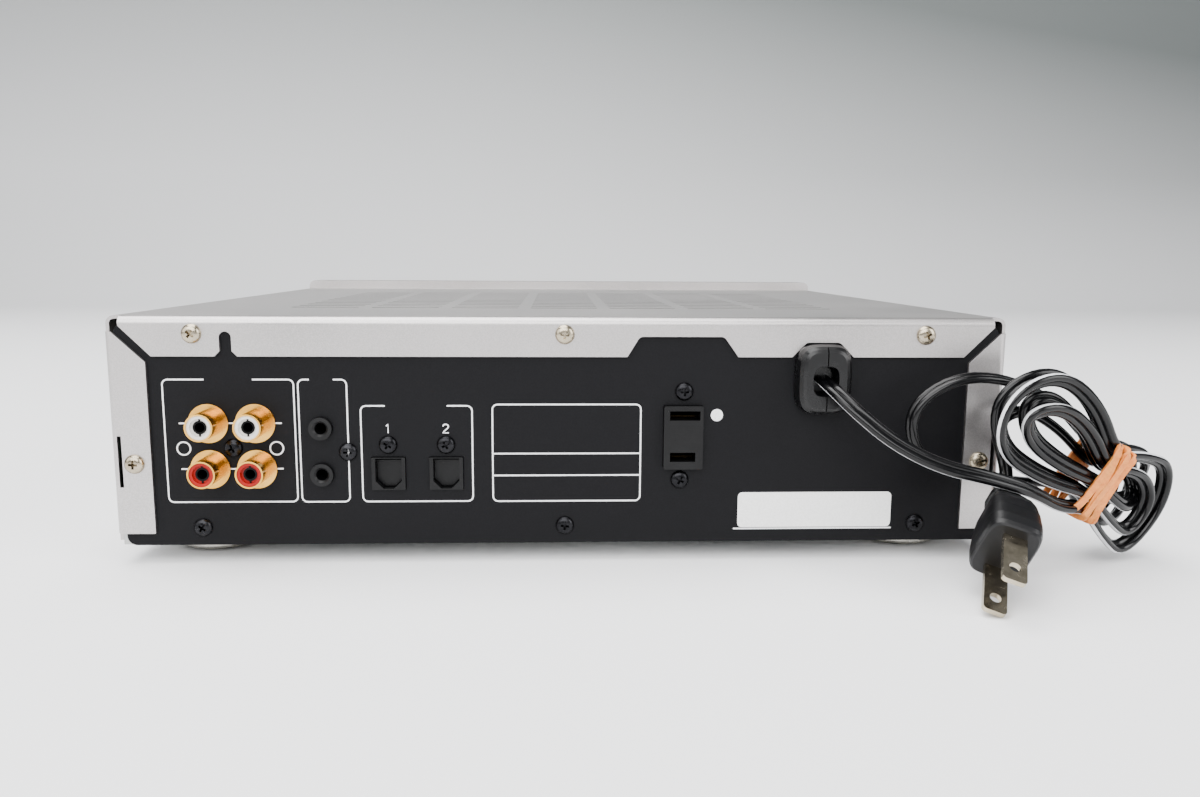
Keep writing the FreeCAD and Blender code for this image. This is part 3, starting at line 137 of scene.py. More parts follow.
# Points laid one by one to follow the photograph: number in the route, and the move in millimetres
LAID = {16: (0, 0, -3), 17: (-1, 0, -2), 28: (0, 2, -2), 29: (1, 2, -2), 52: (3, 0, -1), 53: (4, 0, -2),
        64: (6, 0, -4), 65: (8.5, 0, -4), 66: (6, 0, -2)}
FREE_ROUTE = ((-79.4, -1.0, 58.2), (-79.6, 9.5, 57.2), (-84.5, 17.0, 51.5), (-95.0, 22.0, 42.4),
              (-108.5, 25.5, 35.8), (-122.0, 26.5, 33.0), (-136.0, 24.0, 28.6), (-147.5, 18.5, 22.0))
PLUG_AT = Vector((-132.5, 15.6, 28.0))
PLUG_AXIS = Vector((0.37, 0.815, -0.445)).normalized()
PLUG_TALL = Vector((-0.12, 0.52, 0.845))
LEAD_LEN = 9.0
# White line of the twin cord: its place round the section and half its width, as shares of the way round
STRIPE_AROUND = 0.19
STRIPE_HALF = 0.042
# Turns of the rubber band: slide along the hank, tilt and growth; and half its reach up and back
BAND_TURNS = ((-3.2, 0.13, 0.0), (-1.6, -0.10, 0.3), (0.2, 0.07, 0.6), (1.6, -0.13, 0.25), (3.1, 0.05, 0.05))
BAND_TALL = 11.6
BAND_DEEP = 7.3
BAND_THICK = 0.9 * MM

# Camera of the photograph, in the row frame
CAMERA_AT = (2.21 * MM, REAR + 289.3 * MM, 95.73 * MM)
CAMERA_YAW = -0.044842
CAMERA_PITCH = 0.149544
CAMERA_ROLL = 0.0061685
FOCAL_PIXELS = 953.34
IMAGE_WIDTH = 1200

# Studio: the sweep's sizes in metres, and each light's place, size, property and share of its power
SWEEP_HALF = 4
SWEEP_BACK = -1.3
SWEEP_RADIUS = 0.9
LIGHTS = (("overhead_light", (0.3, 0.1, 1.6), (1.8, 1.4), "key_power", 1.0),
          ("front_light", (0.5, 2.0, 1.4), (2.4, 1.4), "front_power", 1.0),
          ("left_light", (1.5, 0.8, 0.8), (1.0, 1.2), "side_power", 0.5),
          ("right_light", (-1.5, 1.0, 0.8), (1.0, 1.2), "side_power", 1.0))
LIGHTS_AIM = Vector((0, 0, 0.03))


# Small tools

def linear(code, alpha=1.0):
    """An sRGB hex value as linear red, green, blue and alpha."""
    parts = [int(code[i:i + 2], 16) / 255 for i in (1, 3, 5)]
    return [c / 12.92 if c <= 0.04045 else ((c + 0.055) / 1.055) ** 2.4 for c in parts] + [alpha]


def node(tree, kind, inputs=None, **settings):
    """Add a node. Settings are its own fields, and an input is given a value or another node's socket."""
    new = tree.nodes.new(kind)
    for name, value in settings.items():
        setattr(new, name, value)
    for name, value in (inputs or {}).items():
        if isinstance(value, bpy.types.NodeSocket):
            tree.links.new(value, new.inputs[name])
        else:
            new.inputs[name].default_value = value
    return new


def finish(name, colour, inputs=None):
    """A new material with its shader, and the tree to draw its patterns in."""
    material = bpy.data.materials.new(name)
    material.use_nodes = True
    material.diffuse_color = linear(colour)
    tree = material.node_tree
    tree.nodes.clear()
    shader = node(tree, "ShaderNodeBsdfPrincipled", {"Base Color": linear(colour), **(inputs or {})})
    node(tree, "ShaderNodeOutputMaterial", {"Surface": shader.outputs["BSDF"]})
    return material, tree, shader


def tone(tree, factor, dark, light, low=0.35, high=0.65):
    """Turn a grey pattern into a colour between two hex values."""
    ramp = node(tree, "ShaderNodeValToRGB", {"Fac": factor})
    ramp.color_ramp.elements[0].position = low
    ramp.color_ramp.elements[0].color = linear(dark)
    ramp.color_ramp.elements[1].position = high
    ramp.color_ramp.elements[1].color = linear(light)
    return ramp.outputs["Color"]


def made(name, mesh, material, body="deck", smooth=30, replaces=()):
    """Put a finished mesh in the scene as a piece that rides on a body."""
    mesh.name = name
    mesh.materials.clear()
    mesh.materials.append(material)
    piece = bpy.data.objects.new(name, mesh)
    bpy.context.collection.objects.link(piece)
    for face in mesh.polygons:
        face.use_smooth = smooth > 0
    if smooth > 0:
        mesh.set_sharp_from_angle(angle=math.radians(smooth))
    if replaces:
        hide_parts(*replaces)
    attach(piece, body)
    return piece


def verts_in(geom):
    """The vertices among what a bmesh operator gives back."""
    return [part for part in geom if isinstance(part, bmesh.types.BMVert)]


def mesh_of(bm):
    """Close a bmesh into a mesh."""
    mesh = bpy.data.meshes.new("shape")
    bm.to_mesh(mesh)
    bm.free()
    return mesh


def baked(data, modifiers=()):
    """Mesh of a curve, a text or a mesh with its modifiers, and nothing left behind in the scene."""
    shape = bpy.data.objects.new("shape", data)
    bpy.context.collection.objects.link(shape)
    for kind, settings in modifiers:
        modifier = shape.modifiers.new(kind, kind)
        for name, value in settings.items():
            setattr(modifier, name, value)
    bpy.context.view_layer.update()
    mesh = bpy.data.meshes.new_from_object(shape.evaluated_get(bpy.context.evaluated_depsgraph_get()))
    bpy.data.objects.remove(shape)
    return mesh


def spun(profile, steps):
    """A closed form spun round Z from a profile of (radius, height), in metres."""
    bm = bmesh.new()
    corners = [bm.verts.new((r, 0, z)) for r, z in profile]
    edges = [bm.edges.new(pair) for pair in zip(corners, corners[1:])]
    bmesh.ops.spin(bm, geom=corners + edges, cent=(0, 0, 0), axis=(0, 0, 1), angle=2 * math.pi, steps=steps,
                   use_merge=True)
    bmesh.ops.remove_doubles(bm, verts=bm.verts, dist=0.001 * MM)
    return bm


def copied(mesh, places):
    """One mesh of copies of a mesh, each at a matrix."""
    bm = bmesh.new()
    for place in places:
        old = set(bm.verts)
        bm.from_mesh(mesh)
        bmesh.ops.transform(bm, matrix=place, verts=[v for v in bm.verts if v not in old])
    return mesh_of(bm)


def on_rear(x, z, y=PANEL):
    """Matrix that lays a flat drawing on the rear, read from outside, at a place in millimetres."""
    return Matrix(((-1, 0, 0, x * MM), (0, 0, 1, y), (0, 1, 0, z * MM), (0, 0, 0, 1)))


# Finishes. Each is named for the real material, and patterns are scaled from its size in millimetres.

def place_in(tree):
    """Object coordinates, which are the row frame's, because a piece's place is in its mesh."""
    return node(tree, "ShaderNodeTexCoord").outputs["Object"]


def clouds(tree, place, size, detail, roughness=0.5):
    """Grey noise, its clouds a number of millimetres across."""
    return node(tree, "ShaderNodeTexNoise", {"Vector": place, "Scale": 1 / (size * MM), "Detail": detail,
                                             "Roughness": roughness}).outputs["Fac"]


def cells(tree, place, size):
    """Voronoi cells a number of millimetres across."""
    return node(tree, "ShaderNodeTexVoronoi", {"Vector": place, "Scale": 1 / (size * MM)}).outputs


def computed(tree, operation, *values):
    """Result of a math node."""
    return node(tree, "ShaderNodeMath", dict(enumerate(values)), operation=operation).outputs["Value"]


def mixed(tree, factor, first, second, kind="FLOAT"):
    """Result of a mix node."""
    return node(tree, "ShaderNodeMix", {"Factor": factor, "A": first, "B": second},
                data_type=kind).outputs["Result"]


def coloured(tree, shader, factor, dark, light, low=0.35, high=0.65):
    """Colour the surface between two hex values by a grey pattern."""
    tree.links.new(tone(tree, factor, dark, light, low, high), shader.inputs["Base Color"])


def glossed(tree, shader, factor, smooth, dull, low=0.3, high=0.7):
    """Take the roughness from smooth to dull by a grey pattern."""
    rub = node(tree, "ShaderNodeMapRange", {"Value": factor, "From Min": low, "From Max": high,
                                            "To Min": smooth, "To Max": dull})
    tree.links.new(rub.outputs["Result"], shader.inputs["Roughness"])


def raised(tree, shader, factor, strength, depth):
    """Raise the surface by a grey pattern, to a depth in millimetres."""
    bump = node(tree, "ShaderNodeBump", {"Height": factor, "Strength": strength, "Distance": depth * MM})
    tree.links.new(bump.outputs["Normal"], shader.inputs["Normal"])


def enamel_sheet(name, colour, shade, rough, metal, sheen=0.5, flake=0.35, peel=1.6, cut_edge_and_shade_below=0.0):
    """Stoved enamel on sheet steel: glinting flakes, a shallow orange peel, and dark grey below its top that
    is dull steel at cut edges and painted shade in the vent slots and under the sheet.
    """
    material, tree, shader = finish(name, colour, {"Metallic": metal, "Specular IOR Level": sheen})
    place = place_in(tree)
    drift = clouds(tree, place, 60, 3.0)
    pattern = mixed(tree, 0.4, cells(tree, place, flake)["Distance"], drift)
    paint = tone(tree, pattern, shade, colour, 0.2, 0.6)
    if cut_edge_and_shade_below:
        # Painted shade: every face below the top skin, short of the rear edge and the sides, goes dark grey,
        # for the bare steel of the vent walls and for the shade in the slots and under the cover.
        parts = node(tree, "ShaderNodeSeparateXYZ", {"Vector": place}).outputs
        under = computed(tree, "LESS_THAN", parts["Z"], cut_edge_and_shade_below)
        ahead = computed(tree, "LESS_THAN", parts["Y"], CUT_EDGE_AND_SHADE_AHEAD)
        inboard = computed(tree, "COMPARE", parts["X"], 0.0, CUT_EDGE_AND_SHADE_INBOARD)
        edge = computed(tree, "MULTIPLY", computed(tree, "MULTIPLY", under, ahead), inboard)
        paint = mixed(tree, edge, paint, linear("#4A4946"), "RGBA")
    tree.links.new(paint, shader.inputs["Base Color"])
    glossed(tree, shader, drift, rough - 0.04, rough + 0.05)
    raised(tree, shader, clouds(tree, place, peel, 1.0), 0.08, 0.1)
    return material


def moulded_plastic(name, colour, shade, rough, grain=0.4, depth=0.05, sheen=0.3):
    """Injection-moulded plastic: the tool's spark-eroded grain, and handling marks that change the gloss."""
    material, tree, shader = finish(name, colour, {"IOR": 1.5, "Specular IOR Level": sheen})
    place = place_in(tree)
    marks = clouds(tree, place, 9, 5.0, 0.65)
    coloured(tree, shader, marks, shade, colour)
    glossed(tree, shader, marks, rough - 0.06, rough + 0.08)
    raised(tree, shader, clouds(tree, place, grain, 4.0), 0.5, depth)
    return material


def worked_metal(name, colour, shade, rough, run=(1, 12, 12), line=0.5, depth=0.02):
    """Bare or plated metal: fine lines along the way it was rolled, ground or drawn, and a slow tarnish."""
    material, tree, shader = finish(name, colour, {"Metallic": 1.0})
    place = place_in(tree)
    along = node(tree, "ShaderNodeMapping", {"Vector": place, "Scale": run}).outputs["Vector"]
    lines = clouds(tree, along, line * 12, 6.0, 0.7)
    stain = clouds(tree, place, 7, 3.0)
    coloured(tree, shader, mixed(tree, 0.5, lines, stain), shade, colour)
    glossed(tree, shader, lines, rough - 0.08, rough + 0.1)
    raised(tree, shader, lines, 0.4, depth)
    return material


def zinc_sheet(name, colour, shade):
    """Zinc-plated steel: crystal spangle about 5 mm across, its gloss faintly changing between crystals."""
    material, tree, shader = finish(name, colour, {"Metallic": 1.0})
    spangle = cells(tree, place_in(tree), 5)["Color"]
    grey = node(tree, "ShaderNodeRGBToBW", {"Color": spangle}).outputs["Val"]
    coloured(tree, shader, grey, shade, colour, 0.1, 0.9)
    glossed(tree, shader, grey, 0.3, 0.46, 0.0, 1.0)
    return material


def turned_metal(name, colour, shade, centre):
    """Lathe-turned aluminium: concentric tool lines round the knob's own centre, (x, z) in millimetres."""
    material, tree, shader = finish(name, colour, {"Metallic": 1.0, "Roughness": 0.28})
    moved = node(tree, "ShaderNodeMapping", {"Vector": place_in(tree),
                                             "Location": (-centre[0] * MM, 0, -centre[1] * MM)})
    rings = node(tree, "ShaderNodeTexWave", {"Vector": moved.outputs["Vector"], "Scale": 1 / (3.0 * MM),
                                             "Distortion": 0.3},
                 wave_type="RINGS", rings_direction="Y").outputs["Fac"]
    coloured(tree, shader, rings, shade, colour, 0.0, 1.0)
    raised(tree, shader, rings, 0.3, 0.02)
    return material


def solder_mask(name, colour, shade, trace):
    """Printed circuit board: lacquer over copper tracks a millimetre or so wide, which show lighter."""
    material, tree, shader = finish(name, colour, {"Roughness": 0.35, "Coat Weight": 0.3})
    place = place_in(tree)
    tracks = node(tree, "ShaderNodeTexBrick", {
        "Vector": place, "Scale": 1 / (24 * MM), "Color1": linear(colour), "Color2": linear(shade),
        "Mortar": linear(trace), "Mortar Size": 0.035, "Brick Width": 0.5, "Row Height": 0.16}, offset=0.37)
    weave = clouds(tree, place, 0.8, 2.0)
    lacquer = mixed(tree, weave, tracks.outputs["Color"], linear(shade), "RGBA")
    tree.links.new(lacquer, shader.inputs["Base Color"])
    raised(tree, shader, tracks.outputs["Fac"], 0.3, 0.04)
    return material


def stacked_steel(name, colour, shade):
    """Transformer laminations: varnished steel sheets half a millimetre thick that show as bands along X."""
    material, tree, shader = finish(name, colour, {"Metallic": 0.8, "Roughness": 0.5})
    sheets = node(tree, "ShaderNodeTexWave", {"Vector": place_in(tree), "Scale": 1 / (6.0 * MM),
                                              "Distortion": 0.6, "Detail": 2.0},
                  bands_direction="Y").outputs["Fac"]
    coloured(tree, shader, sheets, shade, colour, 0.2, 0.8)
    raised(tree, shader, sheets, 0.5, 0.1)
    return material


def clear_pane(name, colour, smoke):
    """Cast acrylic or glass: clear with a tint, and a film of dust that dulls it in patches."""
    material, tree, shader = finish(name, colour, {"Transmission Weight": smoke, "IOR": 1.49})
    glossed(tree, shader, clouds(tree, place_in(tree), 4, 6.0), 0.04, 0.16, 0.45, 0.7)
    return material


def label_paper(name, colour, shade):
    """Coated label paper: almost white, semi-matt, with fibres a few tenths of a millimetre long."""
    material, tree, shader = finish(name, colour, {"Roughness": 0.42, "Specular IOR Level": 0.45})
    fibres = clouds(tree, place_in(tree), 0.6, 5.0)
    coloured(tree, shader, fibres, shade, colour)
    raised(tree, shader, fibres, 0.15, 0.02)
    return material


def screen_ink(name, colour, shade):
    """Screen-printed ink: opaque, with the screen's 0.12 mm mesh drawn at 0.3 mm so that it shows."""
    material, tree, shader = finish(name, colour, {"Roughness": 0.55})
    coloured(tree, shader, cells(tree, place_in(tree), 0.3)["Distance"], colour, shade, 0.3, 1.0)
    return material


def twin_vinyl(name, jacket, shade, stripe, stripe_dull):
    """Flat twin cord in soft vinyl: black and waxy, with a white line down one core, placed by its UV."""
    material, tree, shader = finish(name, jacket, {"IOR": 1.52, "Specular IOR Level": 0.26})
    around = node(tree, "ShaderNodeUVMap", uv_map="UVMap").outputs["UV"]
    parts = node(tree, "ShaderNodeSeparateXYZ", {"Vector": around}).outputs
    scuffs = clouds(tree, place_in(tree), 8, 4.0, 0.55)
    black = tone(tree, scuffs, jacket, shade)
    white = tone(tree, scuffs, stripe_dull, stripe)
    off = computed(tree, "SUBTRACT", parts["Y"], STRIPE_AROUND)
    line = computed(tree, "LESS_THAN", computed(tree, "ABSOLUTE", off), STRIPE_HALF)
    tree.links.new(mixed(tree, line, black, white, "RGBA"), shader.inputs["Base Color"])
    glossed(tree, shader, scuffs, 0.15, 0.25, 0.35, 0.7)
    raised(tree, shader, scuffs, 0.1, 0.1)
    return material


def band_rubber(name, colour, shade):
    """Crepe rubber band: amber, a little see-through, with stretched streaks and bloom on the surface."""
    material, tree, shader = finish(name, colour, {"Subsurface Weight": 0.25, "Subsurface Scale": 1.5 * MM})
    streaks = clouds(tree, place_in(tree), 2, 8.0, 0.75)
    coloured(tree, shader, streaks, shade, colour)
    glossed(tree, shader, streaks, 0.35, 0.7, 0.0, 1.0)
    raised(tree, shader, streaks, 0.5, 0.15)
    return material


def sweep_paper_and_painted_shade(name, colour, shade):
    """Paper backdrop: near white on the desk, with painted shade that makes it greyer and cooler as it rises
    and to picture right.
    """
    material, tree, shader = finish(name, colour, {"Roughness": 0.6})
    parts = node(tree, "ShaderNodeSeparateXYZ", {"Vector": place_in(tree)}).outputs
    # Painted shade: the ramp runs from the paper's white at the desk to grey high up, sooner towards picture
    # right, for the light that falls off across the sweep.
    side = computed(tree, "MULTIPLY_ADD", parts["X"], -0.16, 0.0)
    rise = node(tree, "ShaderNodeMapRange", {"Value": parts["Z"], "From Min": 0.0, "From Max": 0.3,
                                             "To Min": 0.0, "To Max": 1.0}).outputs["Result"]
    height = computed(tree, "ADD", parts["Z"], computed(tree, "MULTIPLY", side, rise))
    coloured(tree, shader, height, colour, shade, 0.0, 0.9)
    return material


def as_hex(colour):
    """A colour property, kept as sRGB, as a hex value."""
    return "#" + "".join("%02X" % round(max(0, min(1, c)) * 255) for c in colour)


def repaint(material, *names):
    """Give CAD nodes their finish."""
    for name in names:
        mesh = NODES[name].data
        mesh.materials.clear()
        mesh.materials.append(material)


# Sizes and colours that a user would change

class DeckFinishes(bpy.types.PropertyGroup):
    cover_colour: FloatVectorProperty(
        name="Cover", description="Enamel of the cover and front, sRGB", subtype="COLOR_GAMMA",
        default=(0.745, 0.73, 0.725), min=0, max=1)
    panel_colour: FloatVectorProperty(
        name="Panel", description="Enamel of the connector panel, sRGB", subtype="COLOR_GAMMA",
        default=(0.055, 0.055, 0.062), min=0, max=1)
    line_width: FloatProperty(
        name="Printed line", description="Width of the printed frames", default=0.52 * MM,
        min=0.1 * MM, max=2 * MM, unit="LENGTH")
    recess_depth: FloatProperty(
        name="Screw recess", description="Depth of the cross recess in a screw's head", default=1.9 * MM,
        min=0.2 * MM, max=3 * MM, unit="LENGTH")


class DeckCord(bpy.types.PropertyGroup):
    width: FloatProperty(
        name="Cord width", description="Across both cores of the flat twin cord", default=4.8 * MM,
        min=2 * MM, max=8 * MM, unit="LENGTH")
    thickness: FloatProperty(
        name="Cord thickness", description="Through one core of the flat twin cord", default=2.6 * MM,
        min=1 * MM, max=4 * MM, unit="LENGTH")
    band_width: FloatProperty(
        name="Band width", description="Width of one turn of the rubber band", default=1.9 * MM,
        min=1 * MM, max=8 * MM, unit="LENGTH")


class DeckStudio(bpy.types.PropertyGroup):
    key_power: FloatProperty(
        name="Overhead light", description="Power of the large light above the deck", default=68.0,
        min=0, max=500, unit="POWER")
    front_power: FloatProperty(
        name="Front light", description="Power of the large light above and behind the camera", default=84.0,
        min=0, max=500, unit="POWER")
    side_power: FloatProperty(
        name="Side light", description="Power of the lights at both sides", default=28.0,
        min=0, max=500, unit="POWER")
    fill: FloatProperty(
        name="Fill", description="Strength of the even light from all round", default=0.42, min=0, max=5)


# Pieces

class DECK_OT_case(bpy.types.Operator):
    """Finish the cover, panel, chassis, front and feet"""
    bl_idname = "deck.case"
    bl_label = "Case"

    def execute(self, context):
        choice = context.scene.deck_finishes
        silver = as_hex(choice.cover_colour)
        # The cover goes dark grey below its top skin: bare vent edges, and painted shade in the slots and
        # under it
        cover = enamel_sheet("satin silver enamel", silver, "#A8A5A3", 0.38, 1.0, cut_edge_and_shade_below=CUT_EDGE_AND_SHADE_TOP)
        repaint(cover, "top_cover")
        repaint(enamel_sheet("satin silver front", silver, "#A8A5A3", 0.38, 0.85), "front_panel")
        panel = enamel_sheet("semi-matt black enamel", as_hex(choice.panel_colour), "#0A0A0C", 0.5, 0.0,
                             sheen=0.1, flake=0.5, peel=0.9)
        repaint(panel, "rear_panel")
        repaint(zinc_sheet("zinc-plated steel", "#C3C4C2", "#9B9C9A"), "chassis_tray", "mech_frame")
        repaint(worked_metal("plated foot", "#CDCAC2", "#A6A39B", 0.24, (12, 12, 1), 0.3), "feet")
        repaint(moulded_plastic("foot rubber", "#161616", "#232323", 0.8, 0.6, 0.08), "foot_pads")
        return {"FINISHED"}


class DECK_OT_connectors(bpy.types.Operator):
    """Finish the phono jacks, remote jacks, optical sockets and outlet"""
    bl_idname = "deck.connectors"
    bl_label = "Connectors"

    def execute(self, context):
        repaint(worked_metal("gilt shell", "#E3B35C", "#C18C36", 0.2, (12, 1, 12), 0.3, 0.005), "rca_shells")
        repaint(moulded_plastic("white nylon", "#D9D7D2", "#C4C1BA", 0.4), "rca_inserts_white")
        repaint(moulded_plastic("red nylon", "#9E1710", "#7C0F0A", 0.4, sheen=0.2), "rca_inserts_red")
        repaint(moulded_plastic("black nylon", "#070708", "#0E0E0F", 0.38, sheen=0.22), "rca_block",
                "remote_jacks")
        repaint(moulded_plastic("black socket plastic", "#060607", "#0C0C0D", 0.36, sheen=0.2),
                "optical_socket_1", "optical_socket_2", "optical_shutter_1", "optical_shutter_2",
                "outlet_body")
        # Painted shade: the brass contacts are coloured dark for the shade deep in the outlet's slots
        repaint(worked_metal("contact brass darkened as slot shade", "#4A3D26", "#2C2416", 0.5), "outlet_contacts")
        return {"FINISHED"}


class DECK_OT_jack_hole_shades(bpy.types.Operator):
    """Close the four phono jacks' centre holes and slits with black discs and keys, as painted shade"""
    bl_idname = "deck.jack_linings"
    bl_label = "Jack hole shades"

    def execute(self, context):
        bm = spun([(r * MM, z * MM) for r, z in HOLE_SHADE_PROFILE], 32)
        for side in (-1, 1):
            slit_shade = bmesh.ops.create_cube(bm, size=1)["verts"]
            bmesh.ops.scale(bm, vec=SLIT_SHADE_SIZE, verts=slit_shade)
            bmesh.ops.translate(bm, vec=(0, side * SLIT_SHADE_OUT, SLIT_SHADE_RISE), verts=slit_shade)
        bmesh.ops.recalc_face_normals(bm, faces=bm.faces)
        hole_shades = copied(mesh_of(bm), [on_rear(x, z, JACK_FACE) for x in RCA_X for z in RCA_Z])
        # Painted shade: near-black for the dark inside of the centre holes and slits
        hole_shade_black = moulded_plastic("black painted hole shade", "#030303", "#080808", 0.45, sheen=0.12)
        made("jack_linings", hole_shades, hole_shade_black)
        return {"FINISHED"}


def lofted(stations, sides=32, power=0.5):
    """A closed form of rounded-rectangle rings along Z: (height, width, depth) of each, in millimetres."""
    bm = bmesh.new()
    ring = bmesh.ops.create_circle(bm, cap_ends=True, segments=sides, radius=1)["verts"]
    height, width, depth = stations[0]
    shape = [(math.copysign(abs(v.co.x) ** power, v.co.x), math.copysign(abs(v.co.y) ** power, v.co.y))
             for v in ring]
    for v, (x, y) in zip(ring, shape):
        v.co = (x * width / 2 * MM, y * depth / 2 * MM, height * MM)
    face = bm.faces[:][0]
    for before, (height, width, depth) in zip(stations, stations[1:]):
        faces = bmesh.ops.extrude_face_region(bm, geom=[face])["geom"]
        face = [f for f in faces if isinstance(f, bmesh.types.BMFace)][0]
        bmesh.ops.scale(bm, vec=(width / before[1], depth / before[2], 1), verts=face.verts[:])
        bmesh.ops.translate(bm, vec=(0, 0, (height - before[0]) * MM), verts=face.verts[:])
    bmesh.ops.recalc_face_normals(bm, faces=bm.faces)
    return bm


def carved(body, cutters):
    """Mesh of a body with cutting forms taken out of it."""
    tools = []
    for form in cutters:
        tool = bpy.data.objects.new("cutter", mesh_of(form))
        bpy.context.collection.objects.link(tool)
        tools.append(tool)
    mesh = baked(mesh_of(body), [("BOOLEAN", {"object": t, "operation": "DIFFERENCE", "solver": "EXACT"})
                                 for t in tools])
    for tool in tools:
        bpy.data.objects.remove(tool)
    return mesh


class DECK_OT_bush(bpy.types.Operator):
    """Mould the cord bush with its soft nose, seam and mouth"""
    bl_idname = "deck.bush"
    bl_label = "Cord bush"

    def execute(self, context):
        nose = lofted(BUSH_NOSE, sides=64, power=0.52)
        mouth = lofted(BUSH_MOUTH, power=0.6)
        bmesh.ops.translate(mouth, vec=(-0.2 * MM, -0.2 * MM, 0), verts=mouth.verts)
        seam = bmesh.new()
        bmesh.ops.create_cube(seam, size=1)
        bmesh.ops.scale(seam, vec=(0.35 * MM, 30 * MM, 2.4 * MM), verts=seam.verts)
        bmesh.ops.translate(seam, vec=(0.2 * MM, 0, 6.2 * MM), verts=seam.verts)
        mesh = carved(nose, [mouth, seam])
        mesh.transform(on_rear(BUSH[0], BUSH[1], PANEL))
        nylon = moulded_plastic("satin black nylon", "#050506", "#0B0B0C", 0.27, 0.6)
        made("bush_nose", mesh, nylon, replaces=("cord_bush",))
        return {"FINISHED"}


class DECK_OT_controls(bpy.types.Operator):
    """Finish the front's window, flap, buttons, dial and knob"""
    bl_idname = "deck.controls"
    bl_label = "Controls"

    def execute(self, context):
        repaint(clear_pane("smoked acrylic", "#23272B", 0.6), "display_window")
        repaint(moulded_plastic("slot black", "#151516", "#1F1F21", 0.5), "slot_flap")
        button = moulded_plastic("silver painted cap", "#C4C2BF", "#AFADAA", 0.36, 0.5, 0.02)
        repaint(button, "power_button", "eject_button", "stop_button", "play_button", "back_button",
                "forward_button", "menu_button")
        repaint(moulded_plastic("red painted cap", "#8F1E1B", "#75130F", 0.36, 0.5, 0.02), "record_button")
        repaint(turned_metal("turned dial", "#D5D3CE", "#AEACA7", (102, 52)), "jog_dial")
        repaint(turned_metal("turned knob", "#D5D3CE", "#AEACA7", (-112, 26)), "level_knob")
        return {"FINISHED"}


class DECK_OT_insides(bpy.types.Operator):
    """Finish the boards, power supply and minidisc mechanism"""
    bl_idname = "deck.insides"
    bl_label = "Insides"

    def execute(self, context):
        repaint(solder_mask("green solder mask", "#1F5B33", "#17492A", "#3C8450"), "main_board",
                "front_board")
        repaint(solder_mask("paper laminate", "#A07A43", "#8C6937", "#B9935B"), "power_board")
        repaint(clear_pane("display tube glass", "#5C6664", 0.7), "display_tube")
        repaint(stacked_steel("laminated core", "#6C6A66", "#3F3E3C"), "transformer")
        repaint(moulded_plastic("can sleeve", "#171C3C", "#20264A", 0.25), "capacitors")
        repaint(worked_metal("extruded aluminium", "#C9CBCD", "#A4A6A8", 0.4, (12, 12, 1)), "heat_sink")
        repaint(worked_metal("stainless sheet", "#C6C7C6", "#A5A6A6", 0.33), "cartridge_holder", "head_arm")
        repaint(worked_metal("motor can", "#B9B9B5", "#92928E", 0.35), "spindle_motor", "sled_motor",
                "loading_motor")
        repaint(worked_metal("ground steel", "#D8D8D8", "#B4B4B4", 0.16, (12, 1, 12), 0.25), "guide_rods",
                "lead_screw")
        repaint(worked_metal("pinion brass", "#D5B778", "#A5854A", 0.28), "sled_pinion", "loading_pinion")
        repaint(worked_metal("cast aluminium", "#A9AAA9", "#858686", 0.55, (4, 4, 4), 0.8, 0.06),
                "pickup_sled")
        repaint(moulded_plastic("acetal", "#DEDBD0", "#CBC8BC", 0.4), "cam_slider", "loading_gear")
        repaint(moulded_plastic("turntable plastic", "#1B1B1C", "#262627", 0.3), "turntable")
        return {"FINISHED"}


def ink_lines(name, paths, width, material):
    """Printed lines along flat paths of (x, z) in millimetres, as thin raised ink on the panel."""
    curve = bpy.data.curves.new(name, "CURVE")
    curve.dimensions = "3D"
    curve.bevel_depth = width / 2
    curve.bevel_resolution = 1
    for path in paths:
        spline = curve.splines.new("POLY")
        spline.points.add(len(path) - 1)
        for point, (x, z) in zip(spline.points, path):
            point.co = (x * MM, PANEL, z * MM, 1)
    bm = bmesh.new()
    bm.from_mesh(baked(curve))
    bmesh.ops.scale(bm, vec=(1, 0.12, 1), verts=bm.verts, space=Matrix.Translation((0, -PANEL, 0)))
    made(name, mesh_of(bm), material)


DIGITS = {
    "1": [[(-0.5, 0.85), (0.0, 1.2), (0.1, 1.35), (0.1, -1.35)]],
    "2": [[(-0.85, 0.7), (-0.7, 1.1), (-0.3, 1.33), (0.2, 1.33), (0.65, 1.1), (0.8, 0.7), (0.65, 0.25),
           (0.1, -0.3), (-0.55, -0.85), (-0.9, -1.32), (0.9, -1.32)]]}


def round_frame(x0, x1, z0, z1, gap=None, radius=1.6):
    """Path round a frame with rounded corners, open between two places along its top if there is a gap."""
    path = []
    for cx, cz, start in ((x1 - radius, z1 - radius, 90), (x1 - radius, z0 + radius, 0),
                          (x0 + radius, z0 + radius, -90), (x0 + radius, z1 - radius, -180)):
        for step in range(7):
            angle = math.radians(start - 15 * step)
            path.append((cx + radius * math.cos(angle), cz + radius * math.sin(angle)))
    if gap is None:
        return path + path[:1]
    return [(gap[1], z1)] + path + [(gap[0], z1)]


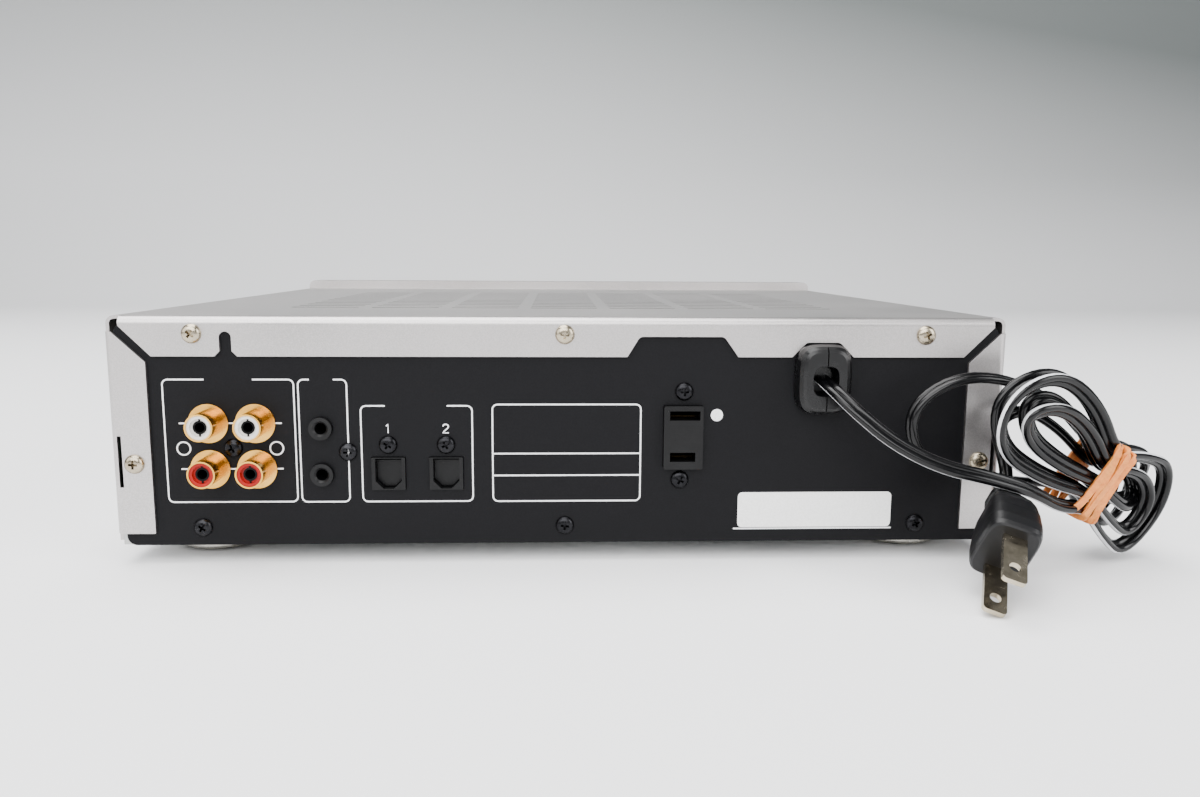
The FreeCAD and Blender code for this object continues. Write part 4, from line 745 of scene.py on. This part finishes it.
class DECK_OT_prints(bpy.types.Operator):
    """Print the frames, leader lines, rings and jack numbers on the panel"""
    bl_idname = "deck.prints"
    bl_label = "Prints"

    def execute(self, context):
        width = context.scene.deck_finishes.line_width
        ink = screen_ink("white screen ink", "#EDEDEE", "#CFCFD1")
        frames = [round_frame(*frame_place) for frame_place in FRAMES]
        rules = [[(PLATE[0], z), (PLATE[1], z)] for z in PLATE_RULES]
        leaders = [[(x0, z), (x1, z)] for z in RCA_Z for x0, x1 in LEADERS]
        rings = [[(x + RING_R * math.cos(a / 12 * math.pi), z + RING_R * math.sin(a / 12 * math.pi))
                  for a in range(25)] for x, z in RINGS]
        ink_lines("printed_lines", frames + rules + leaders + rings + [LABEL_LINE], width, ink)

        bm = bmesh.new()
        bmesh.ops.create_circle(bm, cap_ends=True, segments=32, radius=DOT_R,
                                matrix=on_rear(*DOT, PANEL + INK))
        bmesh.ops.solidify(bm, geom=bm.faces[:], thickness=INK)
        bmesh.ops.recalc_face_normals(bm, faces=bm.faces)
        made("printed_dot", mesh_of(bm), ink, smooth=0)
        for number, x in NUMBERS:
            strokes = [[(x - u, NUMBER_Z + v) for u, v in stroke] for stroke in DIGITS[number]]
            ink_lines("printed_number_" + number, strokes, width * 0.8, ink)
        return {"FINISHED"}


class DECK_OT_label(bpy.types.Operator):
    """Stick the plain label on the panel"""
    bl_idname = "deck.label"
    bl_label = "Label"

    def execute(self, context):
        bm = bmesh.new()
        bmesh.ops.create_grid(bm, x_segments=1, y_segments=1, size=0.5)
        bmesh.ops.scale(bm, vec=LABEL_SIZE, verts=bm.verts)
        bmesh.ops.bevel(bm, geom=bm.verts[:], offset=LABEL_CORNER, segments=5, profile=0.5, affect="VERTICES",
                        material=-1)
        top = bmesh.ops.extrude_face_region(bm, geom=bm.faces[:])["geom"]
        bmesh.ops.translate(bm, vec=(0, 0, LABEL_THICK), verts=verts_in(top))
        bmesh.ops.recalc_face_normals(bm, faces=bm.faces)
        bmesh.ops.transform(bm, matrix=on_rear(*LABEL, PANEL + 0.01 * MM), verts=bm.verts)
        paper = label_paper("coated label paper", "#EDEDEC", "#E3E3E1")
        made("plain_label", mesh_of(bm), paper, smooth=0)
        return {"FINISHED"}


def screw_mesh(head, height, shank, length, depth):
    """A pan-head screw standing on the origin along Z, spun from its profile, with a cross recess cut."""
    crown = ((0, height), (0.45, 0.97 * height), (0.74, 0.8 * height), (0.93, 0.48 * height),
             (1.0, 0.12 * height), (0.98, 0))
    bm = spun([(head * r, z) for r, z in crown] + [(shank, 0), (shank, -length), (0, -length)], 36)
    bmesh.ops.recalc_face_normals(bm, faces=bm.faces)
    cuts = []
    for turn in (0, math.pi / 2):
        slot = bmesh.new()
        bmesh.ops.create_cube(slot, size=1)
        bmesh.ops.scale(slot, vec=(head * 1.16, head * 0.27, depth * 2), verts=slot.verts)
        low = [v for v in slot.verts if v.co.z < 0]
        bmesh.ops.scale(slot, vec=(0.55, 0.8, 1), verts=low)
        bmesh.ops.rotate(slot, cent=(0, 0, 0), matrix=Matrix.Rotation(turn, 3, "Z"), verts=slot.verts)
        bmesh.ops.translate(slot, vec=(0, 0, height), verts=slot.verts)
        cuts.append(slot)
    return carved(bm, cuts)


def set_screws(name, places, mesh, y, material, node_name):
    """One piece of all the screws of a kind, each turned as it was left when driven."""
    turns = [Matrix.Rotation(math.radians(FIRST_TURN + NEXT_TURN * count), 4, "Z")
             for count in range(len(places))]
    screws = copied(mesh, [on_rear(x, z, y) @ turn for (x, z), turn in zip(places, turns)])
    made(name, screws, material, replaces=(node_name,))


class DECK_OT_screws(bpy.types.Operator):
    """Drive the silver cover screws and the black panel screws"""
    bl_idname = "deck.screws"
    bl_label = "Screws"

    def execute(self, context):
        depth = context.scene.deck_finishes.recess_depth
        nickel = worked_metal("nickel-plated screw", "#B5AA95", "#8A806E", 0.24, (4, 4, 4), 0.5)
        black = worked_metal("blackened screw", "#2C2C2E", "#18181A", 0.28, (4, 4, 4), 0.5)
        cover = screw_mesh(*COVER_SCREW, depth)
        panel = screw_mesh(*PANEL_SCREW, depth)
        set_screws("silver_screws", COVER_SCREWS, cover, REAR, nickel, "cover_screws")
        set_screws("black_screws", PANEL_SCREWS, panel, PANEL, black, "panel_screws")
        return {"FINISHED"}


def lobe(direction, sizes, planes, lean, first):
    """Five points round one end of a loop. Sizes and planes hold where it starts and where it ends."""
    angle = math.radians(direction)
    out = HANK_AXIS * math.cos(angle) + HANK_UP * math.sin(angle)
    across = HANK_DEPTH.cross(out)
    if across.z < 0:
        across = -across
    points = []
    for share, (reach, offset) in zip((0, 0, 0.5, 1, 1), (
            (0.39, 0.806), (0.806, 0.919), (1, 0), (0.806, -0.919), (0.39, -0.806))):
        length = sizes[0][0] + (sizes[1][0] - sizes[0][0]) * share
        width = sizes[0][1] + (sizes[1][1] - sizes[0][1]) * share
        level = (1 - planes[0] - (planes[1] - planes[0]) * share) * STRAND_PITCH
        back = level * (1 + HANK_SPREAD * length * reach) + lean * length * reach
        points.append(HANK_AT + out * (length * reach) + across * (first * offset * width / 2)
                      + HANK_DEPTH * back)
    return points


def tie_point(plane, row):
    """Where a strand passes under the band, drawn together as the band pulls it."""
    middle = HANK_UP * (-0.5 * STRAND_PITCH)
    return HANK_AT + middle + (HANK_UP * (row + 0.5) + HANK_DEPTH * (1 - plane)) * STRAND_PITCH * TIE_SQUEEZE


def cord_route():
    """The cord's points from the bush to the plug, in millimetres from the middle of the rear."""
    points = [Vector(p) for p in FREE_ROUTE] + [tie_point(0, -2.5)]
    before = (0, -1)
    for plane, nest in LOOPS:
        row = 1.5 - nest
        size = LEFT_LOBES[plane][nest]
        points += lobe(RIGHT_DIRECTION, (RIGHT_LOBES[before[1]], RIGHT_LOBES[nest]), (before[0], plane),
                       RIGHT_LEAN, -1)
        points.append(tie_point(plane, row))
        left = lobe(size[0], (size[1:], size[1:]), (plane, plane), 0, 1)
        points += left[:3] if (plane, nest) == LOOPS[-1] else left + [tie_point(plane, -row)]
        before = (plane, nest)
    for number, move in LAID.items():
        points[number] = points[number] + Vector(move)
    return points + [PLUG_AT - PLUG_AXIS * LEAD_LEN, PLUG_AT]


def in_frame(point):
    """A point given from the middle of the rear, in millimetres, as metres in the row frame."""
    return Vector((point.x * MM, REAR + point.y * MM, point.z * MM))


def section_of(name, points):
    """Object of a closed flat outline, to sweep along a curve."""
    curve = bpy.data.curves.new(name, "CURVE")
    curve.dimensions = "2D"
    spline = curve.splines.new("POLY")
    spline.points.add(len(points) - 1)
    for point, (x, y) in zip(spline.points, points):
        point.co = (x, y, 0, 1)
    spline.use_cyclic_u = True
    section = bpy.data.objects.new(name, curve)
    bpy.context.collection.objects.link(section)
    return section


def twin_section(width, thickness):
    """Outline of the flat twin cord, two round cores side by side with a groove between them."""
    radius = thickness / 2
    shift = width / 2 - radius
    points = []
    meet = math.degrees(math.acos(-shift / radius))
    for side, start in ((1, -meet), (-1, 180 - meet)):
        for step in range(12):
            angle = math.radians(start + meet / 6 * step)
            points.append((side * shift + radius * math.cos(angle), radius * math.sin(angle)))
    return section_of("section", points)


class DECK_OT_cord(bpy.types.Operator):
    """Lay the mains cord from the bush through its hank to the plug"""
    bl_idname = "deck.cord"
    bl_label = "Mains cord"

    def execute(self, context):
        choice = context.scene.deck_cord
        curve = bpy.data.curves.new("cord_line", "CURVE")
        curve.dimensions = "3D"
        curve.resolution_u = 7
        curve.twist_mode = "MINIMUM"
        spline = curve.splines.new("NURBS")
        route = cord_route()
        spline.points.add(len(route) - 1)
        for count, (point, place) in enumerate(zip(spline.points, route)):
            point.co = (*in_frame(place), 1)
            point.tilt = 0.25 * math.sin(0.5 * count)
        spline.order_u = 3
        spline.use_endpoint_u = True
        line = baked(curve.copy())
        path = [line.vertices[0].co.copy()]
        for vertex in line.vertices:
            if (vertex.co - path[-1]).length > 0.3 * MM:
                path.append(vertex.co.copy())
        section = twin_section(choice.width, choice.thickness)
        curve.bevel_mode = "OBJECT"
        curve.bevel_object = section
        curve.use_fill_caps = True
        mesh = baked(curve)
        bpy.data.objects.remove(section)
        vinyl = twin_vinyl("black twin vinyl", "#020203", "#060607", "#D6D7D9", "#BEBFC2")
        cord = made("mains_cord", mesh, vinyl, smooth=50,
                    replaces=("power_cord", "cord_hank", "plug_lead"))
        return {"FINISHED"}


class DECK_OT_band(bpy.types.Operator):
    """Wind the rubber band five times round the hank"""
    bl_idname = "deck.band"
    bl_label = "Rubber band"

    def execute(self, context):
        width = context.scene.deck_cord.band_width
        bm = bmesh.new()
        for turn, (slide, tilt, grow) in enumerate(BAND_TURNS):
            curve = bpy.data.curves.new("turn", "CURVE")
            curve.dimensions = "3D"
            curve.resolution_u = 5
            spline = curve.splines.new("NURBS")
            tall = BAND_TALL + grow
            deep = BAND_DEEP + grow
            corners = [(deep, 0.55), (deep, -0.55), (deep, -0.93), (deep * 0.86, -1.0), (0.3 * deep, -1.0),
                       (-0.3 * deep, -1.0), (-deep * 0.86, -1.0), (-deep, -0.93), (-deep, -0.55),
                       (-deep, 0.55), (-deep, 0.93), (-deep * 0.86, 1.0), (-0.3 * deep, 1.0),
                       (0.3 * deep, 1.0), (deep * 0.86, 1.0), (deep, 0.93)]
            spline.points.add(len(corners) - 1)
            for count, (point, (across, share)) in enumerate(zip(spline.points, corners)):
                up = share * tall
                wander = slide + tilt * up + 0.5 * math.sin(1.9 * count + turn)
                place = HANK_AT + HANK_DEPTH * across + HANK_UP * (up - STRAND_PITCH / 2) + HANK_AXIS * wander
                point.co = (*in_frame(place), 1)
                point.tilt = 0.25 * math.sin(0.8 * count + 2 * turn)
            spline.order_u = 3
            spline.use_cyclic_u = True
            profile = section_of("strip", [(x * BAND_THICK, y * width) for x, y in (
                (-0.5, -0.5), (0.5, -0.5), (0.5, 0.5), (-0.5, 0.5))])
            curve.bevel_mode = "OBJECT"
            curve.bevel_object = profile
            curve.twist_mode = "Z_UP"
            bm.from_mesh(baked(curve))
            bpy.data.objects.remove(profile)
        bmesh.ops.remove_doubles(bm, verts=bm.verts, dist=0.002 * MM)
        bmesh.ops.recalc_face_normals(bm, faces=bm.faces)
        rubber = band_rubber("crepe rubber", "#DE8A3E", "#BF6A26")
        made("rubber_band_turns", mesh_of(bm), rubber, smooth=50, replaces=("rubber_band",))
        return {"FINISHED"}


class DECK_OT_plug(bpy.types.Operator):
    """Mould the plug with its ribbed relief, and finish its blades"""
    bl_idname = "deck.plug"
    bl_label = "Plug"

    def execute(self, context):
        ribs = []
        for rib in range(RELIEF_RIBS):
            start = 0.3 + 1.9 * rib
            grow = 0.35 * rib
            ribs += [(start, 5.2 + grow, 4.0 + grow), (start + 0.1, 6.6 + grow, 5.3 + grow),
                     (start + 0.9, 6.6 + grow, 5.3 + grow), (start + 1.0, 5.2 + grow, 4.0 + grow)]
        plug = lofted(ribs + list(PLUG_FORM), sides=48, power=0.42)
        tall = (PLUG_TALL - PLUG_AXIS * PLUG_TALL.dot(PLUG_AXIS)).normalized()
        turn = Matrix((tall.cross(PLUG_AXIS), tall, PLUG_AXIS)).transposed().to_4x4()
        mesh = mesh_of(plug)
        mesh.transform(Matrix.Translation(in_frame(PLUG_AT)) @ turn)
        made("plug_moulding", mesh, moulded_plastic("plug vinyl", "#070708", "#0E0E10", 0.36, 0.5, 0.06),
             smooth=35, replaces=("plug_body",))
        repaint(worked_metal("nickel-plated blade", "#C2B8A4", "#A1967F", 0.2, (2, 2, 2), 0.5, 0.004),
                "plug_blades")
        return {"FINISHED"}


class DECK_OT_studio(bpy.types.Operator):
    """Build the paper sweep, the soft lights and the camera"""
    bl_idname = "deck.studio"
    bl_label = "Studio"

    def execute(self, context):
        choice = context.scene.deck_studio
        bm = bmesh.new()
        ends = [bm.verts.new((x, SWEEP_BACK, 0)) for x in (-SWEEP_HALF, SWEEP_HALF)]
        edge = bm.edges.new(ends)
        swept = bmesh.ops.spin(bm, geom=ends + [edge], cent=(0, SWEEP_BACK, SWEEP_RADIUS), axis=(1, 0, 0),
                               angle=-math.radians(80), steps=20)["geom_last"]
        wall = bmesh.ops.extrude_edge_only(bm, edges=[e for e in swept if isinstance(e, bmesh.types.BMEdge)])
        bmesh.ops.translate(bm, vec=(0, -0.3, 2.2), verts=verts_in(wall["geom"]))
        floor = bmesh.ops.extrude_edge_only(bm, edges=[edge])
        bmesh.ops.translate(bm, vec=(0, 4.5, 0), verts=verts_in(floor["geom"]))
        bmesh.ops.recalc_face_normals(bm, faces=bm.faces)
        mesh = mesh_of(bm)
        for face in mesh.polygons:
            face.use_smooth = True
        # The sweep's paper carries painted shade that greys it as it rises and to picture right.
        mesh.materials.append(sweep_paper_and_painted_shade("sweep paper and painted shade", "#F1F1F2", "#767B7A"))
        sweep = bpy.data.objects.new("paper_sweep", mesh)
        context.collection.objects.link(sweep)

        for name, place, size, power, share in LIGHTS:
            data = bpy.data.lights.new(name, "AREA")
            data.shape = "RECTANGLE"
            data.size, data.size_y = size
            data.energy = getattr(choice, power) * share
            light = bpy.data.objects.new(name, data)
            light.location = place
            light.rotation_euler = (LIGHTS_AIM - Vector(place)).to_track_quat("-Z", "Y").to_euler()
            context.collection.objects.link(light)

        world = context.scene.world or bpy.data.worlds.new("studio")
        context.scene.world = world
        world.use_nodes = True
        world.node_tree.nodes.clear()
        even = node(world.node_tree, "ShaderNodeBackground", {"Color": linear("#DDE0E4"),
                                                              "Strength": choice.fill})
        node(world.node_tree, "ShaderNodeOutputWorld", {"Surface": even.outputs["Background"]})

        data = bpy.data.cameras.new("camera")
        data.sensor_width = 36
        data.lens = FOCAL_PIXELS / IMAGE_WIDTH * data.sensor_width
        data.clip_start = 0.01
        data.clip_end = 20
        camera = bpy.data.objects.new("camera", data)
        ahead = Vector((math.sin(CAMERA_YAW) * math.cos(CAMERA_PITCH),
                        -math.cos(CAMERA_YAW) * math.cos(CAMERA_PITCH), -math.sin(CAMERA_PITCH)))
        right = ahead.cross(Vector((0, 0, 1))).normalized()
        above = right.cross(ahead)
        tilted = right * math.cos(CAMERA_ROLL) + above * math.sin(CAMERA_ROLL)
        upward = above * math.cos(CAMERA_ROLL) - right * math.sin(CAMERA_ROLL)
        turn = Matrix((tilted, upward, -ahead)).transposed().to_4x4()
        camera.matrix_world = Matrix.Translation(CAMERA_AT) @ turn
        context.collection.objects.link(camera)
        context.scene.camera = camera
        return {"FINISHED"}


class DECK_PT_panel(bpy.types.Panel):
    """Sizes, colours and steps of the deck"""
    bl_idname = "DECK_PT_panel"
    bl_label = "Deck"
    bl_space_type = "VIEW_3D"
    bl_region_type = "UI"
    bl_category = "Deck"

    def draw(self, context):
        for group in (context.scene.deck_finishes, context.scene.deck_cord, context.scene.deck_studio):
            box = self.layout.box()
            for name in group.bl_rna.properties.keys():
                if name not in ("rna_type", "name"):
                    box.prop(group, name)
        for step in STEPS:
            self.layout.operator(step.bl_idname)


STEPS = (DECK_OT_studio, DECK_OT_case, DECK_OT_connectors, DECK_OT_controls, DECK_OT_insides,
         DECK_OT_jack_hole_shades, DECK_OT_bush, DECK_OT_prints, DECK_OT_label, DECK_OT_screws, DECK_OT_plug,
         DECK_OT_band, DECK_OT_cord)
GROUPS = (DeckFinishes, DeckCord, DeckStudio)


def register():
    for group in GROUPS + STEPS + (DECK_PT_panel,):
        bpy.utils.register_class(group)
    bpy.types.Scene.deck_finishes = PointerProperty(type=DeckFinishes)
    bpy.types.Scene.deck_cord = PointerProperty(type=DeckCord)
    bpy.types.Scene.deck_studio = PointerProperty(type=DeckStudio)


def unregister():
    del bpy.types.Scene.deck_studio
    del bpy.types.Scene.deck_cord
    del bpy.types.Scene.deck_finishes
    for group in reversed(GROUPS + STEPS + (DECK_PT_panel,)):
        bpy.utils.unregister_class(group)


def main():
    register()
    for step in STEPS:
        group, name = step.bl_idname.split(".")
        getattr(getattr(bpy.ops, group), name)()


if __name__ == "__main__":
    main()
